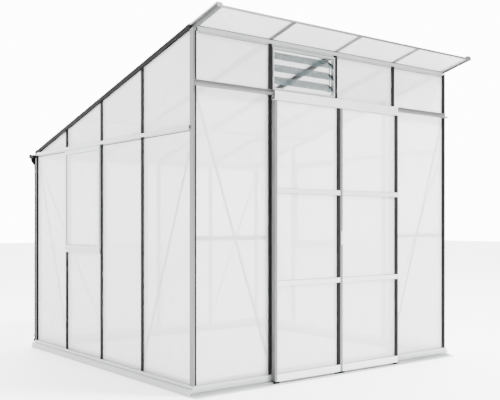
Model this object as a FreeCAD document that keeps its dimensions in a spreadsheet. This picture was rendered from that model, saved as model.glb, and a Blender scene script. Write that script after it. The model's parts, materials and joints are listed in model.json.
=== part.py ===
# Lean-to greenhouse: a mono-pitch frame of aluminium bars on a galvanised base, clad in
# twin-wall sheet, with two sliding doors, a louvre, two top-hung windows and a gutter.
# Millimetres. X runs along the doors, Y from the doors to the low wall, Z up.
import FreeCAD, Part
import math
import os
import Sketcher

BAYS = 4
BLADES = 3
HOOK_SWEEP = 240
HOOK_BACK = 40
DOC = FreeCAD.newDocument("greenhouse")
SHEET = DOC.addObject("Spreadsheet::Sheet", "Sizes")
PLACES = DOC.addObject("Spreadsheet::Sheet", "Places")
NODES = {}


class Term:
    """A value together with the expression that the document keeps for it."""

    def __init__(self, value, text):
        self.value = value
        self.text = text

    def __add__(self, other):
        other = term(other)
        return Term(self.value + other.value, f"({self.text} + {other.text})")

    def __sub__(self, other):
        other = term(other)
        return Term(self.value - other.value, f"({self.text} - {other.text})")

    def __mul__(self, other):
        other = term(other)
        return Term(self.value * other.value, f"({self.text} * {other.text})")

    def __truediv__(self, other):
        other = term(other)
        return Term(self.value / other.value, f"({self.text} / {other.text})")

    def __radd__(self, other):
        return term(other) + self

    def __rsub__(self, other):
        return term(other) - self

    def __rmul__(self, other):
        return term(other) * self

    def __rtruediv__(self, other):
        return term(other) / self

    def __neg__(self):
        return Term(-self.value, f"(-1 * {self.text})")


def term(value):
    return value if isinstance(value, Term) else Term(float(value), repr(float(value)))


def root(inner):
    return Term(math.sqrt(inner.value), f"sqrt({inner.text})")


class Names:
    """Holds each size or place under its own name."""


s = Names()
p = Names()

# Driving sizes. Depths are measured inwards from the outer plane of a wall or the roof.
DRIVING = dict(
    # Plan and heights
    front_bay=630, side_bay=624, corner_line=14, front_height=2408, rear_height=1759,
    overhang=258, eave_over=12,
    # Glazing section
    metal=2, cap_face=4, cap_deep=10, cap_wide=27, cap_skin=2.5, cap_leg=3, panel_thick=4,
    nose_wide=8, nose_top=10, seat_wide=34, bar_deep=50, foot_wide=16,
    # Corner posts and verge
    face_wide=44, post_lip=12, seat_over=5, corner_cap=30, corner_cap_face=9, corner_inset=1,
    verge_rise=5, verge_lip=6, verge_over=20, verge_cap=24, verge_block=3.5, verge_start=46,
    verge_end=84,
    # Base, sills and threshold
    base_high=46, base_proud=26, front_proud=4, flange_low=84, sill_high=21, sill_nose=6,
    sill_lip=13, upstand_high=40, threshold_over=20, threshold_high=8, threshold_lip=4,
    guide_thick=3, anchor_bore=9, anchor_end=300,
    # Rails round the walls: heights are drops from the roof or from the door track
    rail_drop=35, rail_high=24, rail_proud=8, head_drop=50, eave_drop=43, rail_lip=14,
    web_drop=10, leg_drop=24, mid_rail_low=1000, mid_rail_high=30, header_rise=6,
    header_high=30, header_lip=12, header_deep=46,
    # Door track, rollers and doors
    track_high=38, track_proud=30, track_lip=12, track_return=12,
    stop_wide=14, stop_high=12, door_travel=600, roller_out=12, roller_groove=10,
    roller_wide=8, groove_wide=3, axle_wide=6, axle_end=3, roller_inset=70,
    door_gap=1, door_back=8, door_thick=38, door_low=22, cover_drop=36, cover_rise=30,
    track_gap=4, stile_wide=20, stile_lip=4, stile_step=6, door_bottom_high=50,
    door_rail_high=34, pane_back=30, pane_groove=4, door_strip=26, glide_gap=1.5,
    glide_wide=36, glide_long=40, guide_side=0.7, grip_high=1010, grip_long=100,
    grip_wide=6, grip_deep=1,
    # Louvre
    jamb_skin=3, jamb_face=12.5, louvre_deep=38, louvre_rise=38, louvre_drop=17,
    blade_wide=95, blade_rise=71, blade_pitch=86, blade_drop=54, blade_line=22,
    blade_tilt=45, glass_thick=4, holder_thick=6, holder_wide=10, holder_long=70, holder_grip=3,
    pivot_wide=5, crank_up=9.6, crank_in=26.3, crank_pin=4, link_thick=2, link_wide=8,
    link_gap=4.5, link_tail=32, knob_wide=12, knob_long=16,
    # Windows
    window_sill_low=878, window_sill_high=26, sash_rise=3, sash_rail=30, sash_gap=1,
    sash_out=12, sash_back=3, sash_pane=6, hinge_line=4, hinge_drop=5, hinge_rod=3,
    hinge_skin=2, hinge_end=20, stay_long=400, stay_high=12, stay_thick=3, stay_lug=12,
    stay_rise=23, stay_pin=4, guide_cheek=36,
    # Roof
    edge_leg=16, edge_drip=8, purlin_line=1580, purlin_wide=25,
    # Braces, gutter and downpipe
    brace_wide=20, brace_low=110, brace_inset=24,
    gutter_gap=2, gutter_wide=102, gutter_drop=53, gutter_high=33, gutter_skin=2.5,
    gutter_over=20, gutter_lean=4, pipe_wide=40, pipe_skin=2.5, pipe_in=22, pipe_out=32,
    outlet_in=8, outlet_out=76, elbow_drop=81, elbow_end=20, pipe_bend=22, pipe_low=95,
    shoe_end=22.5, shoe_out=22.5, shoe_fall=15, clip_high=20, clip_drop=52, clip_rise=10,
    clip_skin=2,
    # Fasteners and running clearance
    bolt_head=9, bolt_rise=1.6, bolt_shank=5, bolt_long=12, play=0.3,
)
for row, (name, number) in enumerate(DRIVING.items(), start=1):
    SHEET.set(f"A{row}", str(number))
    SHEET.setAlias(f"A{row}", name)
    setattr(s, name, Term(float(number), f"Sizes.{name}"))


def place(name, value):
    """Keep a worked-out value in the second sheet under its own name."""
    cell = f"A{len(vars(p)) + 1}"
    PLACES.set(cell, "=" + value.text)
    PLACES.setAlias(cell, name)
    setattr(p, name, Term(value.value, f"Places.{name}"))


place("half", 2 * s.front_bay + s.corner_line)
place("panel_face", s.cap_face + s.cap_deep)
place("seat_top", p.panel_face + s.panel_thick)
place("seat_low", p.seat_top + s.metal)
place("side_line", s.face_wide - s.nose_wide / 2)
place("deep", p.side_line + BAYS * s.side_bay + s.corner_line)
place("rise", (s.front_height - s.rear_height) / p.deep)
place("level", 1 / root(1 + p.rise * p.rise))
place("corner_seat", s.corner_line + s.seat_wide / 2)
place("edge_low", p.seat_low + s.edge_drip)
place("front_reach", s.overhang + p.edge_low * p.rise * p.level)
place("rear_reach", s.gutter_gap + s.gutter_wide)
place("front", (p.front_reach - p.deep - p.rear_reach) / 2)
place("rear", p.front + p.deep)
place("tip", -s.overhang / p.level)
place("slope_start", p.tip + s.edge_leg + s.play)
place("slope_end", (p.deep + s.eave_over) / p.level)
place("sill_deep", s.bar_deep + s.metal)
place("sill_top", s.base_high + s.sill_high)
place("seat_reach", s.face_wide + s.seat_over)
place("anchor_line", (p.sill_deep + s.flange_low) / 2)
place("rail_low", s.rear_height - s.rail_drop)
place("head_low", s.front_height - s.head_drop)
place("eave_low", s.rear_height - s.eave_drop)
place("louvre_top", p.head_low - s.louvre_drop)
place("louvre_high", s.blade_rise + (BLADES - 1) * s.blade_pitch + s.blade_drop)
place("louvre_low", p.louvre_top - p.louvre_high)
place("blade_first", p.louvre_low + s.blade_rise)
place("header_low", p.louvre_low - s.louvre_rise)
place("track_low", p.header_low - s.header_rise)
place("door_wide", s.front_bay - s.door_gap)
place("door_front", s.door_back + s.door_thick)
place("cover_low", p.track_low - s.cover_drop)
place("cover_top", p.track_low + s.cover_rise)
place("box_top", p.track_low - s.track_gap)
place("foot_top", s.door_low + s.door_bottom_high)
place("pane_high", (p.cover_low - p.foot_top - 2 * s.door_rail_high) / 3)
place("lower_rail", p.foot_top + p.pane_high)
place("upper_rail", p.lower_rail + s.door_rail_high + p.pane_high)
place("guide_line", s.door_back + s.door_thick / 2)
place("guide_top", s.door_low - s.metal)
place("glide_low", s.threshold_high + s.glide_gap)
place("threshold_reach", p.door_front + s.threshold_over)
place("jamb_in", s.seat_wide / 2 + s.play)
place("sash_low", s.window_sill_low + s.window_sill_high + s.sash_rise)
place("gutter_low", s.rear_height - s.gutter_drop)
place("gutter_lip", p.gutter_low + s.gutter_high)
place("pipe_top", p.gutter_low - s.elbow_drop)
place("clip_upper", p.pipe_top - s.clip_drop)
place("clip_lower", s.pipe_low + s.clip_rise)


def roof_height(depth, along):
    """Height of the plane that lies a depth under the roof, at a distance behind the front."""
    return s.front_height - depth / p.level - p.rise * along


place("gutter_back", roof_height(p.corner_seat + s.play, p.deep + s.gutter_gap + s.gutter_skin))
DOC.recompute()


V = FreeCAD.Vector


def new_body(label, spot=(0, 0, 0), angle=None):
    body = DOC.addObject("PartDesign::Body", label)
    body.Label = label
    body.AllowCompound = True
    spot = [term(value) for value in spot]
    start = FreeCAD.Rotation(V(1, 0, 0), 1 if angle is None else angle.value)
    if angle is None:
        start = FreeCAD.Rotation()
    body.Placement = FreeCAD.Placement(V(*[value.value for value in spot]), start)
    for axis, value in zip("xyz", spot):
        body.setExpression(f"Placement.Base.{axis}", value.text)
    if angle is not None:
        body.setExpression("Placement.Rotation.Angle", angle.text)
    return body


def origin_feature(body, role):
    return next(item for item in body.Origin.OriginFeatures if item.Role == role)


def draw(body, plane, outlines, offset=0):
    """A sketch on one of the body's own planes: polygons of (x, y), or circles (x, y, r)."""
    sketch = body.newObject("Sketcher::SketchObject", f"{body.Name}_sketch")
    sketch.AttachmentSupport = [(origin_feature(body, plane), "")]
    sketch.MapMode = "FlatFace"
    offset = -term(offset) if plane == "XZ_Plane" else term(offset)
    sketch.AttachmentOffset = FreeCAD.Placement(V(0, 0, offset.value), FreeCAD.Rotation())
    sketch.setExpression("AttachmentOffset.Base.z", offset.text)
    count = 0
    bound = []

    def fix(kind, edge, point, value):
        value = term(value)
        index = sketch.addConstraint(Sketcher.Constraint(kind, -1, 1, edge, point, value.value))
        bound.append((index, value))

    for outline in outlines:
        if not isinstance(outline, list):
            x, y, radius = [term(value) for value in outline]
            sketch.addGeometry(Part.Circle(V(x.value, y.value, 0), V(0, 0, 1), radius.value))
            index = sketch.addConstraint(Sketcher.Constraint("Radius", count, radius.value))
            bound.append((index, radius))
            fix("DistanceX", count, 3, x)
            fix("DistanceY", count, 3, y)
            count += 1
            continue
        points = [(term(x), term(y)) for x, y in outline]
        spots = [V(x.value, y.value, 0) for x, y in points]
        total = len(points)
        sketch.addGeometry([Part.LineSegment(spots[i], spots[(i + 1) % total])
                            for i in range(total)])
        sketch.addConstraint([Sketcher.Constraint("Coincident", count + i, 2,
                                                  count + (i + 1) % total, 1)
                              for i in range(total)])
        for i, (x, y) in enumerate(points):
            fix("DistanceX", count + i, 1, x)
            fix("DistanceY", count + i, 1, y)
        count += total
    for index, value in bound:
        if "." in value.text and ("Sizes" in value.text or "Places" in value.text):
            sketch.setExpression(f"Constraints[{index}]", value.text)
    return sketch


def pad(body, plane, outlines, start, length):
    """Extrude outlines from start to start + length along the plane's own axis."""
    sketch = draw(body, plane, outlines, start)
    feature = body.newObject("PartDesign::Pad", f"{body.Name}_pad")
    feature.Profile = sketch
    feature.Reversed = plane == "XZ_Plane"
    length = term(length)
    feature.Length = length.value
    feature.setExpression("Length", length.text)
    body.Tip = feature
    return feature


def cut(body, plane, outlines):
    """Cut outlines right through the body, both ways from the plane."""
    sketch = draw(body, plane, outlines)
    feature = body.newObject("PartDesign::Pocket", f"{body.Name}_cut")
    feature.Profile = sketch
    feature.Type = "ThroughAll"
    feature.Midplane = True
    body.Tip = feature
    return feature


def mirror(body, features, plane="YZ_Plane"):
    feature = body.newObject("PartDesign::Mirrored", f"{body.Name}_mirror")
    feature.Originals = features
    feature.MirrorPlane = (origin_feature(body, plane), [""])
    body.Tip = feature
    return feature


def box(label, corner, extent):
    """A Part box from its lowest corner and its extent along X, Y and Z."""
    piece = DOC.addObject("Part::Box", label)
    for side, value in zip(("Length", "Width", "Height"), extent):
        piece.setExpression(side, term(value).text)
    for axis, value in zip("xyz", corner):
        piece.setExpression(f"Placement.Base.{axis}", term(value).text)
    return piece


def cylinder(label, centre, axis, radius, length, sweep=360, start=0):
    """A Part cylinder from the middle of its first end, along X, Y or Z, or a sector of one."""
    piece = DOC.addObject("Part::Cylinder", label)
    turn = {"x": FreeCAD.Rotation(V(0, 1, 0), 90), "y": FreeCAD.Rotation(V(1, 0, 0), -90),
            "z": FreeCAD.Rotation()}[axis]
    piece.Placement = FreeCAD.Placement(V(0, 0, 0), turn * FreeCAD.Rotation(V(0, 0, 1), start))
    piece.Angle = sweep
    piece.setExpression("Radius", term(radius).text)
    piece.setExpression("Height", term(length).text)
    for side, value in zip("xyz", centre):
        piece.setExpression(f"Placement.Base.{side}", term(value).text)
    return piece


def join(kind, label, pieces):
    piece = DOC.addObject(kind, label)
    if kind == "Part::Cut":
        piece.Base, piece.Tool = pieces
    elif kind == "Part::Compound":
        piece.Links = pieces
    else:
        piece.Shapes = pieces
    return piece


def keep(name, piece):
    """Give a finished sub-part its node name."""
    piece.Label = name
    NODES[name] = piece


class Wall:
    """One wall: where its outer plane is, and which way is inwards."""

    def __init__(self, name, spot, lengthwise, inwards):
        self.name = name
        self.spot = spot
        self.lengthwise = lengthwise
        self.inwards = inwards

    def body(self, label):
        return new_body(label, self.spot)

    def plan(self, outline):
        """(along, depth) seen from above."""
        if self.lengthwise == "x":
            return [(along, self.inwards * depth) for along, depth in outline]
        return [(self.inwards * depth, along) for along, depth in outline]

    def upright(self, body, outlines, start, length):
        return pad(body, "XY_Plane", [self.plan(o) for o in outlines], start, length)

    def lengthways(self, body, outlines, start, length):
        """Outlines of (depth, height), extruded along the wall."""
        plane = "YZ_Plane" if self.lengthwise == "x" else "XZ_Plane"
        flipped = [[(self.inwards * depth, high) for depth, high in o] for o in outlines]
        return pad(body, plane, flipped, start, length)

    def sheet(self, body, outlines, depth, thick):
        """Outlines of (along, height), extruded inwards from a depth."""
        plane = "XZ_Plane" if self.lengthwise == "x" else "YZ_Plane"
        start = depth if self.inwards > 0 else -(depth + thick)
        return pad(body, plane, outlines, start, thick)

    def trim(self, body, outlines):
        plane = "XZ_Plane" if self.lengthwise == "x" else "YZ_Plane"
        return cut(body, plane, outlines)


FRONT = Wall("front", (0, p.front, 0), "x", 1)
REAR = Wall("rear", (0, p.rear, 0), "x", -1)
LEFT = Wall("left", (-p.half, p.front, 0), "y", 1)
RIGHT = Wall("right", (p.half, p.front, 0), "y", -1)
FRONT_LINES = [k * s.front_bay for k in (-1, 0, 1)]
SIDE_LINES = [p.side_line + k * s.side_bay for k in (1, 2, 3)]
SIDE_EDGES = [p.side_line] + SIDE_LINES + [p.deep - s.corner_line]
FRONT_EDGES = [-2 * s.front_bay] + FRONT_LINES + [2 * s.front_bay]
BACK_EDGES = [-p.half + p.side_line] + FRONT_LINES + [p.half - p.side_line]


def bar_section(line):
    """The glazing bar: a nose between two sheets, a seat behind them, a web and a foot."""
    nose, seat, web, foot = s.nose_wide / 2, s.seat_wide / 2, s.metal / 2, s.foot_wide / 2
    heel = s.bar_deep - s.metal
    right = [(nose, s.nose_top), (nose, p.seat_top), (seat, p.seat_top), (seat, p.seat_low),
             (web, p.seat_low), (web, heel), (foot, heel), (foot, s.bar_deep)]
    left = [(-across, depth) for across, depth in reversed(right)]
    return [(line + across, depth) for across, depth in right + left]


def cap_section(line):
    """The dark strip over a bar: a skin with a leg on each sheet."""
    edge, leg, skin = s.cap_wide / 2, s.cap_wide / 2 - s.cap_leg, s.cap_face + s.cap_skin
    return [(line - edge, s.cap_face), (line + edge, s.cap_face), (line + edge, p.panel_face),
            (line + leg, p.panel_face), (line + leg, skin), (line - leg, skin),
            (line - leg, p.panel_face), (line - edge, p.panel_face)]


def corner_section(lip, rise=0):
    """The corner extrusion as (along the capped wall, along the plain wall)."""
    skin, face, reach = s.metal, s.face_wide, p.seat_reach
    top, low = p.seat_top, p.seat_low
    return [(-rise, 0), (lip, 0), (lip, top), (p.corner_seat, top), (p.corner_seat, low),
            (low, low), (low, reach), (top, reach), (top, low), (lip - skin, low),
            (lip - skin, skin), (skin - rise, skin), (skin - rise, face - skin),
            (p.panel_face, face - skin), (p.panel_face, face), (-rise, face)]


def rect(x0, x1, y0, y1):
    return [(x0, y0), (x1, y0), (x1, y1), (x0, y1)]


def above(depth):
    """The area above the plane at a depth under the roof, seen from the side."""
    back = p.deep + s.face_wide
    sky = s.front_height + s.face_wide
    return [(-s.face_wide, roof_height(depth, -s.face_wide)), (back, roof_height(depth, back)),
            (back, sky), (-s.face_wide, sky)]


def flip(outline):
    """The same outline on the other side of the middle."""
    return [(-x, y) for x, y in outline]


def mitres(wall, proud, ahead, behind, reach):
    """The two corner triangles that a rail loses, seen from above, as wall plans."""
    if wall.lengthwise == "x":
        ends = [(-p.half, -1, ahead), (p.half, 1, behind)]
    else:
        ends = [(term(0), -1, ahead), (p.deep, 1, behind)]
    triangles = []
    for corner, out, past in ends:
        outer, inner = corner + out * past, corner - out * reach
        triangles.append(wall.plan([(outer, -proud), (inner, reach), (outer, reach)]))
    return triangles


def ring_rail(wall, label, outline, proud, ahead, behind, reach):
    """A rail along one wall, mitred to its neighbours at both corners."""
    body = wall.body(label)
    if wall.lengthwise == "x":
        start, length = -p.half - ahead, 2 * p.half + ahead + behind
    else:
        start, length = -term(ahead), p.deep + ahead + behind
    wall.lengthways(body, [outline], start, length)
    cut(body, "XY_Plane", mitres(wall, proud, ahead, behind, reach))
    return body


def base_rails():
    rails = []
    for wall in (FRONT, REAR, LEFT, RIGHT):
        proud = s.front_proud if wall is FRONT else s.base_proud
        skin, top = s.metal, s.base_high
        outline = [(-proud, 0), (s.flange_low, 0), (s.flange_low, skin), (skin - proud, skin),
                   (skin - proud, top - skin), (p.sill_deep, top - skin),
                   (p.sill_deep, top), (-proud, top)]
        ahead = s.base_proud if wall.lengthwise == "x" else s.front_proud
        body = ring_rail(wall, f"{wall.name}_base_rail", outline, proud, ahead,
                         s.base_proud, s.flange_low)
        if wall.lengthwise == "y":
            radius = s.anchor_bore / 2
            cut(body, "XY_Plane", [(wall.inwards * p.anchor_line, along, radius)
                                   for along in (s.anchor_end, p.deep - s.anchor_end)])
        rails.append(body)
    keep("base_rails", join("Part::Compound", "base_rail_ring", rails))


def mid_bays(wall):
    edges = FRONT_EDGES if wall.lengthwise == "x" else SIDE_EDGES
    middles = [(a + b) / 2 for a, b in zip(edges, edges[1:])]
    return [middles[0], middles[-1]] if wall is FRONT else middles


def sill_bolt_height():
    return (s.base_high + p.sill_top) / 2


def wall_sills():
    sills = []
    skin, top, nose = s.metal, p.sill_top, s.sill_nose
    low = s.base_high
    outline = [(-nose, low), (p.sill_deep, low), (p.sill_deep, low + s.upstand_high),
               (s.bar_deep, low + s.upstand_high), (s.bar_deep, low + skin),
               (skin - nose, low + skin), (skin - nose, top - skin),
               (s.nose_top - skin, top - skin), (s.nose_top - skin, top - s.sill_lip),
               (s.nose_top, top - s.sill_lip), (s.nose_top, top), (-nose, top)]
    for wall in (FRONT, REAR, LEFT, RIGHT):
        body = ring_rail(wall, f"{wall.name}_sill", outline, nose, nose, nose, p.sill_deep)
        wall.trim(body, [(along, sill_bolt_height(), s.bolt_shank / 2 + s.play)
                         for along in mid_bays(wall)])
        sills.append(body)
    keep("wall_sills", join("Part::Compound", "sill_ring", sills))


def frame_bolts():
    bolts = []
    high = sill_bolt_height()
    face = s.sill_nose
    for wall in (FRONT, REAR, LEFT, RIGHT):
        for index, along in enumerate(mid_bays(wall)):
            label = f"{wall.name}_bolt_{index + 1}"
            parts = []
            for part, radius, start, length in (
                    ("head", s.bolt_head / 2, face + s.bolt_rise, s.bolt_rise),
                    ("shank", s.bolt_shank / 2, face, s.bolt_long)):
                depth = -start if wall.inwards > 0 else start - length
                if wall.lengthwise == "x":
                    spot = (along, wall.spot[1] + depth, high)
                else:
                    spot = (wall.spot[0] + depth, p.front + along, high)
                axis = "y" if wall.lengthwise == "x" else "x"
                parts.append(cylinder(f"{label}_{part}", spot, axis, radius, length))
            bolts.append(join("Part::MultiFuse", label, parts))
    keep("frame_bolts", join("Part::Compound", "sill_bolts", bolts))


def door_threshold():
    body = FRONT.body("door_threshold")
    skin, top, reach, face = s.metal, s.threshold_high, p.threshold_reach, s.front_proud
    rib_out, rib_in = p.guide_line + s.guide_thick / 2, p.guide_line - s.guide_thick / 2
    outline = [(-reach, 0), (skin - reach, 0), (skin - reach, top - skin),
               (-rib_out, top - skin), (-rib_out, 0), (-rib_in, 0), (-rib_in, top - skin),
               (-face - skin, top - skin), (-face - skin, 0), (-face, 0),
               (-face, s.base_high - skin), (-face - skin, s.base_high - skin),
               (-face - skin, top), (-rib_in, top), (-rib_in, p.guide_top),
               (-rib_out, p.guide_top), (-rib_out, top), (skin - reach, top),
               (skin - reach, top + s.threshold_lip), (-reach, top + s.threshold_lip)]
    FRONT.lengthways(body, [outline], -p.half - s.base_proud, 2 * (p.half + s.base_proud))
    keep("door_threshold", body)


def corner_posts():
    section = corner_section(s.post_lip)
    tall = s.front_height - p.sill_top
    for name, outline in (
            ("front_posts", [(a - p.half, b) for a, b in section]),
            ("rear_posts", [(b - p.half, p.deep - a) for a, b in section])):
        body = new_body(name, (0, p.front, 0))
        shaft = pad(body, "XY_Plane", [outline], p.sill_top, tall)
        mirror(body, [shaft])
        cut(body, "YZ_Plane", [above(p.corner_seat)])
        keep(name, body)


def wall_bars():
    foot = s.base_high + s.metal
    for wall in (LEFT, RIGHT):
        body = wall.body(f"{wall.name}_wall_bars")
        wall.upright(body, [bar_section(line) for line in SIDE_LINES], foot,
                     s.front_height - foot)
        cut(body, "YZ_Plane", [above(p.corner_seat)])
        keep(f"{wall.name}_wall_bars", body)
    body = REAR.body("rear_wall_bars")
    REAR.upright(body, [bar_section(line) for line in FRONT_LINES], foot,
                 p.eave_low - s.web_drop - foot)
    keep("rear_wall_bars", body)
    body = FRONT.body("front_wall_bars")
    top = p.head_low - s.web_drop
    FRONT.upright(body, [bar_section(FRONT_LINES[0]), bar_section(FRONT_LINES[2])], foot,
                  top - foot)
    header_top = p.header_low + s.header_high
    FRONT.upright(body, [bar_section(FRONT_LINES[1])], header_top, top - header_top)
    keep("front_wall_bars", body)


def wall_panels():
    nose, low = s.nose_wide / 2, s.base_high + s.metal
    split = p.rail_low + s.rail_high / 2
    for wall in (LEFT, RIGHT):
        body = wall.body(f"{wall.name}_wall_panels")
        sheets = []
        for bay in range(BAYS):
            a = SIDE_EDGES[bay] + (nose if bay else -nose)
            b = SIDE_EDGES[bay + 1] - nose
            top = split - s.play
            if bay == 2:
                top = s.window_sill_low + s.window_sill_high / 2
            sheets.append(rect(a, b, low, top))
            sheets.append([(a, split + s.play), (b, split + s.play),
                           (b, roof_height(p.seat_top, b)), (a, roof_height(p.seat_top, a))])
        wall.sheet(body, sheets, p.panel_face, s.panel_thick)
        keep(f"{wall.name}_wall_panels", body)
    body = REAR.body("rear_wall_panels")
    sheets = []
    for bay in range(BAYS):
        a = BACK_EDGES[bay] + (nose if bay else -nose)
        b = BACK_EDGES[bay + 1] - (nose if bay < BAYS - 1 else -nose)
        sheets.append(rect(a, b, low, p.eave_low + s.web_drop))
    REAR.sheet(body, sheets, p.panel_face, s.panel_thick)
    keep("rear_wall_panels", body)
    body = FRONT.body("front_wall_panels")
    top, split = p.head_low + s.web_drop, p.track_low + s.track_high / 2
    header = p.header_low + s.metal
    sheets = []
    for bay in (0, BAYS - 1):
        a, b = FRONT_EDGES[bay] + nose, FRONT_EDGES[bay + 1] - nose
        sheets.append(rect(a, b, low, split - s.play))
        sheets.append(rect(a, b, split + s.play, top))
    sheets.append(rect(FRONT_LINES[1] + nose, FRONT_LINES[2] - nose, header, top))
    FRONT.sheet(body, sheets, p.panel_face, s.panel_thick)
    keep("front_wall_panels", body)


def wall_strips():
    parts = []
    edge, face, skin = s.corner_cap, s.corner_cap_face, s.cap_skin
    lip = s.post_lip
    inset = s.corner_inset
    corner = [(lip, inset), (lip + skin, inset), (lip + skin, face), (edge, face),
              (edge, p.panel_face), (lip, p.panel_face)]
    for wall in (LEFT, RIGHT):
        body = wall.body(f"{wall.name}_strips")
        outlines = [cap_section(line) for line in SIDE_LINES]
        outlines.append([(p.deep - a, b) for a, b in corner])
        wall.upright(body, outlines, p.sill_top, s.front_height - p.sill_top)
        cut(body, "YZ_Plane", [above(s.verge_cap + s.play)])
        parts.append(body)
    body = REAR.body("rear_strips")
    REAR.upright(body, [cap_section(line) for line in FRONT_LINES], p.sill_top,
                 p.eave_low - p.sill_top)
    parts.append(body)
    body = FRONT.body("front_strips")
    left = [(a - p.half, b) for a, b in corner]
    FRONT.upright(body, [left, flip(left), cap_section(FRONT_LINES[0]),
                         cap_section(FRONT_LINES[2])], p.sill_top, p.head_low - p.sill_top)
    top = p.track_low + s.track_high
    FRONT.upright(body, [cap_section(FRONT_LINES[1])], top, p.head_low - top)
    parts.append(body)
    keep("wall_strips", join("Part::Compound", "strips", parts))


def side_cross_rails():
    """Eaves rails with their hinge beads, and the window sills."""
    parts = []
    low, high, skin, out = p.rail_low, s.rail_high, s.metal, s.rail_proud
    first, last = SIDE_LINES[1], SIDE_LINES[2]
    seat = s.seat_wide / 2
    bottom, top = s.window_sill_low, s.window_sill_low + s.window_sill_high
    for wall in (LEFT, RIGHT):
        rail = wall.body(f"{wall.name}_eaves_rail")
        tube = [rect(-out, s.cap_face, low, low + high),
                rect(skin - out, s.cap_face - skin, low + skin, low + high - skin)]
        wall.lengthways(rail, tube, s.face_wide, p.deep - s.face_wide - s.seat_wide)
        web = s.hinge_skin / 2
        start = first + s.hinge_end
        length = last - first - 2 * s.hinge_end
        wall.lengthways(rail, [rect(-s.hinge_line - web, web - s.hinge_line,
                                    low - s.hinge_drop, low + skin)], start, length)
        cut(rail, "YZ_Plane", [above(s.verge_cap + s.play)])
        spot = (wall.spot[0] - wall.inwards * s.hinge_line, p.front + start,
                low - s.hinge_drop)
        bead = cylinder(f"{wall.name}_bead", spot, "y", s.hinge_rod, length)
        parts.append(join("Part::MultiFuse", f"{wall.name}_hinged_rail", [rail, bead]))
        sill = wall.body(f"{wall.name}_window_sill")
        back = s.sash_back
        nose = [rect(-out, back, bottom, top),
                rect(skin - out, back - skin, bottom + skin, top - skin)]
        wall.lengthways(sill, nose, first, last - first)
        outline = [(back, top - skin), (s.nose_top, top - skin), (s.nose_top, bottom),
                   (s.nose_top + skin, bottom), (s.nose_top + skin, top - skin),
                   (s.bar_deep - skin, top - skin), (s.bar_deep - skin, bottom),
                   (s.bar_deep, bottom), (s.bar_deep, top), (back, top)]
        wall.lengthways(sill, [outline], first + seat, last - first - 2 * seat)
        middle = (first + last) / 2
        inner = s.stay_thick / 2 + s.sash_gap
        outer = inner + skin
        cheek = [(middle - outer, top), (middle + outer, top),
                 (middle + outer, top + s.guide_cheek), (middle + inner, top + s.guide_cheek),
                 (middle + inner, top + skin), (middle - inner, top + skin),
                 (middle - inner, top + s.guide_cheek), (middle - outer, top + s.guide_cheek)]
        guide = wall.body(f"{wall.name}_stay_guide")
        wall.sheet(guide, [cheek], s.bar_deep - s.foot_wide, s.foot_wide)
        parts += [sill, guide]
    keep("side_cross_rails", join("Part::Compound", "side_rails", parts))


def front_cross_rails():
    """The header over the doorway and a mid rail behind each front side panel."""
    body = FRONT.body("front_cross_rails")
    low, skin, back = p.header_low, s.metal, s.header_deep
    lip = s.nose_top
    outline = [(lip, low), (back, low), (back, low + s.header_high),
               (back - skin, low + s.header_high), (back - skin, low + skin),
               (lip + skin, low + skin), (lip + skin, low + s.header_lip),
               (lip, low + s.header_lip)]
    seat = s.seat_wide / 2
    FRONT.lengthways(body, [outline], FRONT_LINES[0] + seat, 2 * (s.front_bay - seat))
    near, far = p.seat_low + s.metal + s.play, s.bar_deep - s.metal - s.play
    tube = [rect(near, far, s.mid_rail_low, s.mid_rail_low + s.mid_rail_high),
            rect(near + skin, far - skin, s.mid_rail_low + skin,
                 s.mid_rail_low + s.mid_rail_high - skin)]
    length = p.half - p.seat_low - s.front_bay - skin / 2
    FRONT.lengthways(body, tube, p.seat_low - p.half, length)
    FRONT.lengthways(body, tube, s.front_bay + skin / 2, length)
    keep("front_cross_rails", body)


def top_rail(wall, name, low, height_at, inset):
    """A rail that caps a wall: its top follows the roof, under the rafter seats."""
    skin, lip = s.metal, s.nose_top
    mid, back = p.seat_top, s.bar_deep
    outline = [(-skin, low), (lip, low), (lip, low + s.rail_lip), (lip - skin, low + s.rail_lip),
               (lip - skin, low + skin), (0, low + skin), (0, height_at(0) - skin),
               (mid, height_at(mid) - skin), (mid, low - s.web_drop),
               (mid + skin, low - s.web_drop), (mid + skin, height_at(mid + skin) - skin),
               (back, height_at(back) - skin), (back, low - s.leg_drop),
               (back + skin, low - s.leg_drop), (back + skin, height_at(back + skin)),
               (-skin, height_at(-skin))]
    body = wall.body(name)
    wall.lengthways(body, [outline], inset - p.half, 2 * (p.half - inset))
    keep(name, body)


def top_rails():
    top_rail(FRONT, "head_rail", p.head_low,
             lambda depth: roof_height(p.seat_low, term(depth)), p.corner_seat)
    top_rail(REAR, "eave_rail", p.eave_low,
             lambda depth: roof_height(p.seat_low, p.deep - depth), p.seat_reach)


def door_track():
    body = FRONT.body("door_track")
    low, high, skin = p.track_low, p.track_low + s.track_high, s.metal
    out = s.track_proud
    outline = [(0, low), (0, high), (-s.track_return, high), (-s.track_return, high - skin),
               (-skin, high - skin), (-skin, low + skin), (skin - out, low + skin),
               (skin - out, low + s.track_lip), (-out, low + s.track_lip), (-out, low)]
    FRONT.lengthways(body, [outline], -p.half, 2 * p.half)
    keep("door_track", body)


def track_stops():
    body = FRONT.body("track_stops")
    reach = s.door_gap + p.door_wide - s.roller_inset + s.door_travel + s.roller_out + s.play
    low = p.track_low + s.metal
    outline = rect(s.metal - s.track_proud, -s.metal, low, low + s.stop_high)
    FRONT.lengthways(body, [outline], reach, s.stop_wide)
    FRONT.lengthways(body, [outline], -reach - s.stop_wide, s.stop_wide)
    keep("track_stops", body)


def brace(a, high, b, low, band):
    return [(a, high - band), (a, high), (b, low + band), (b, low)]


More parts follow.
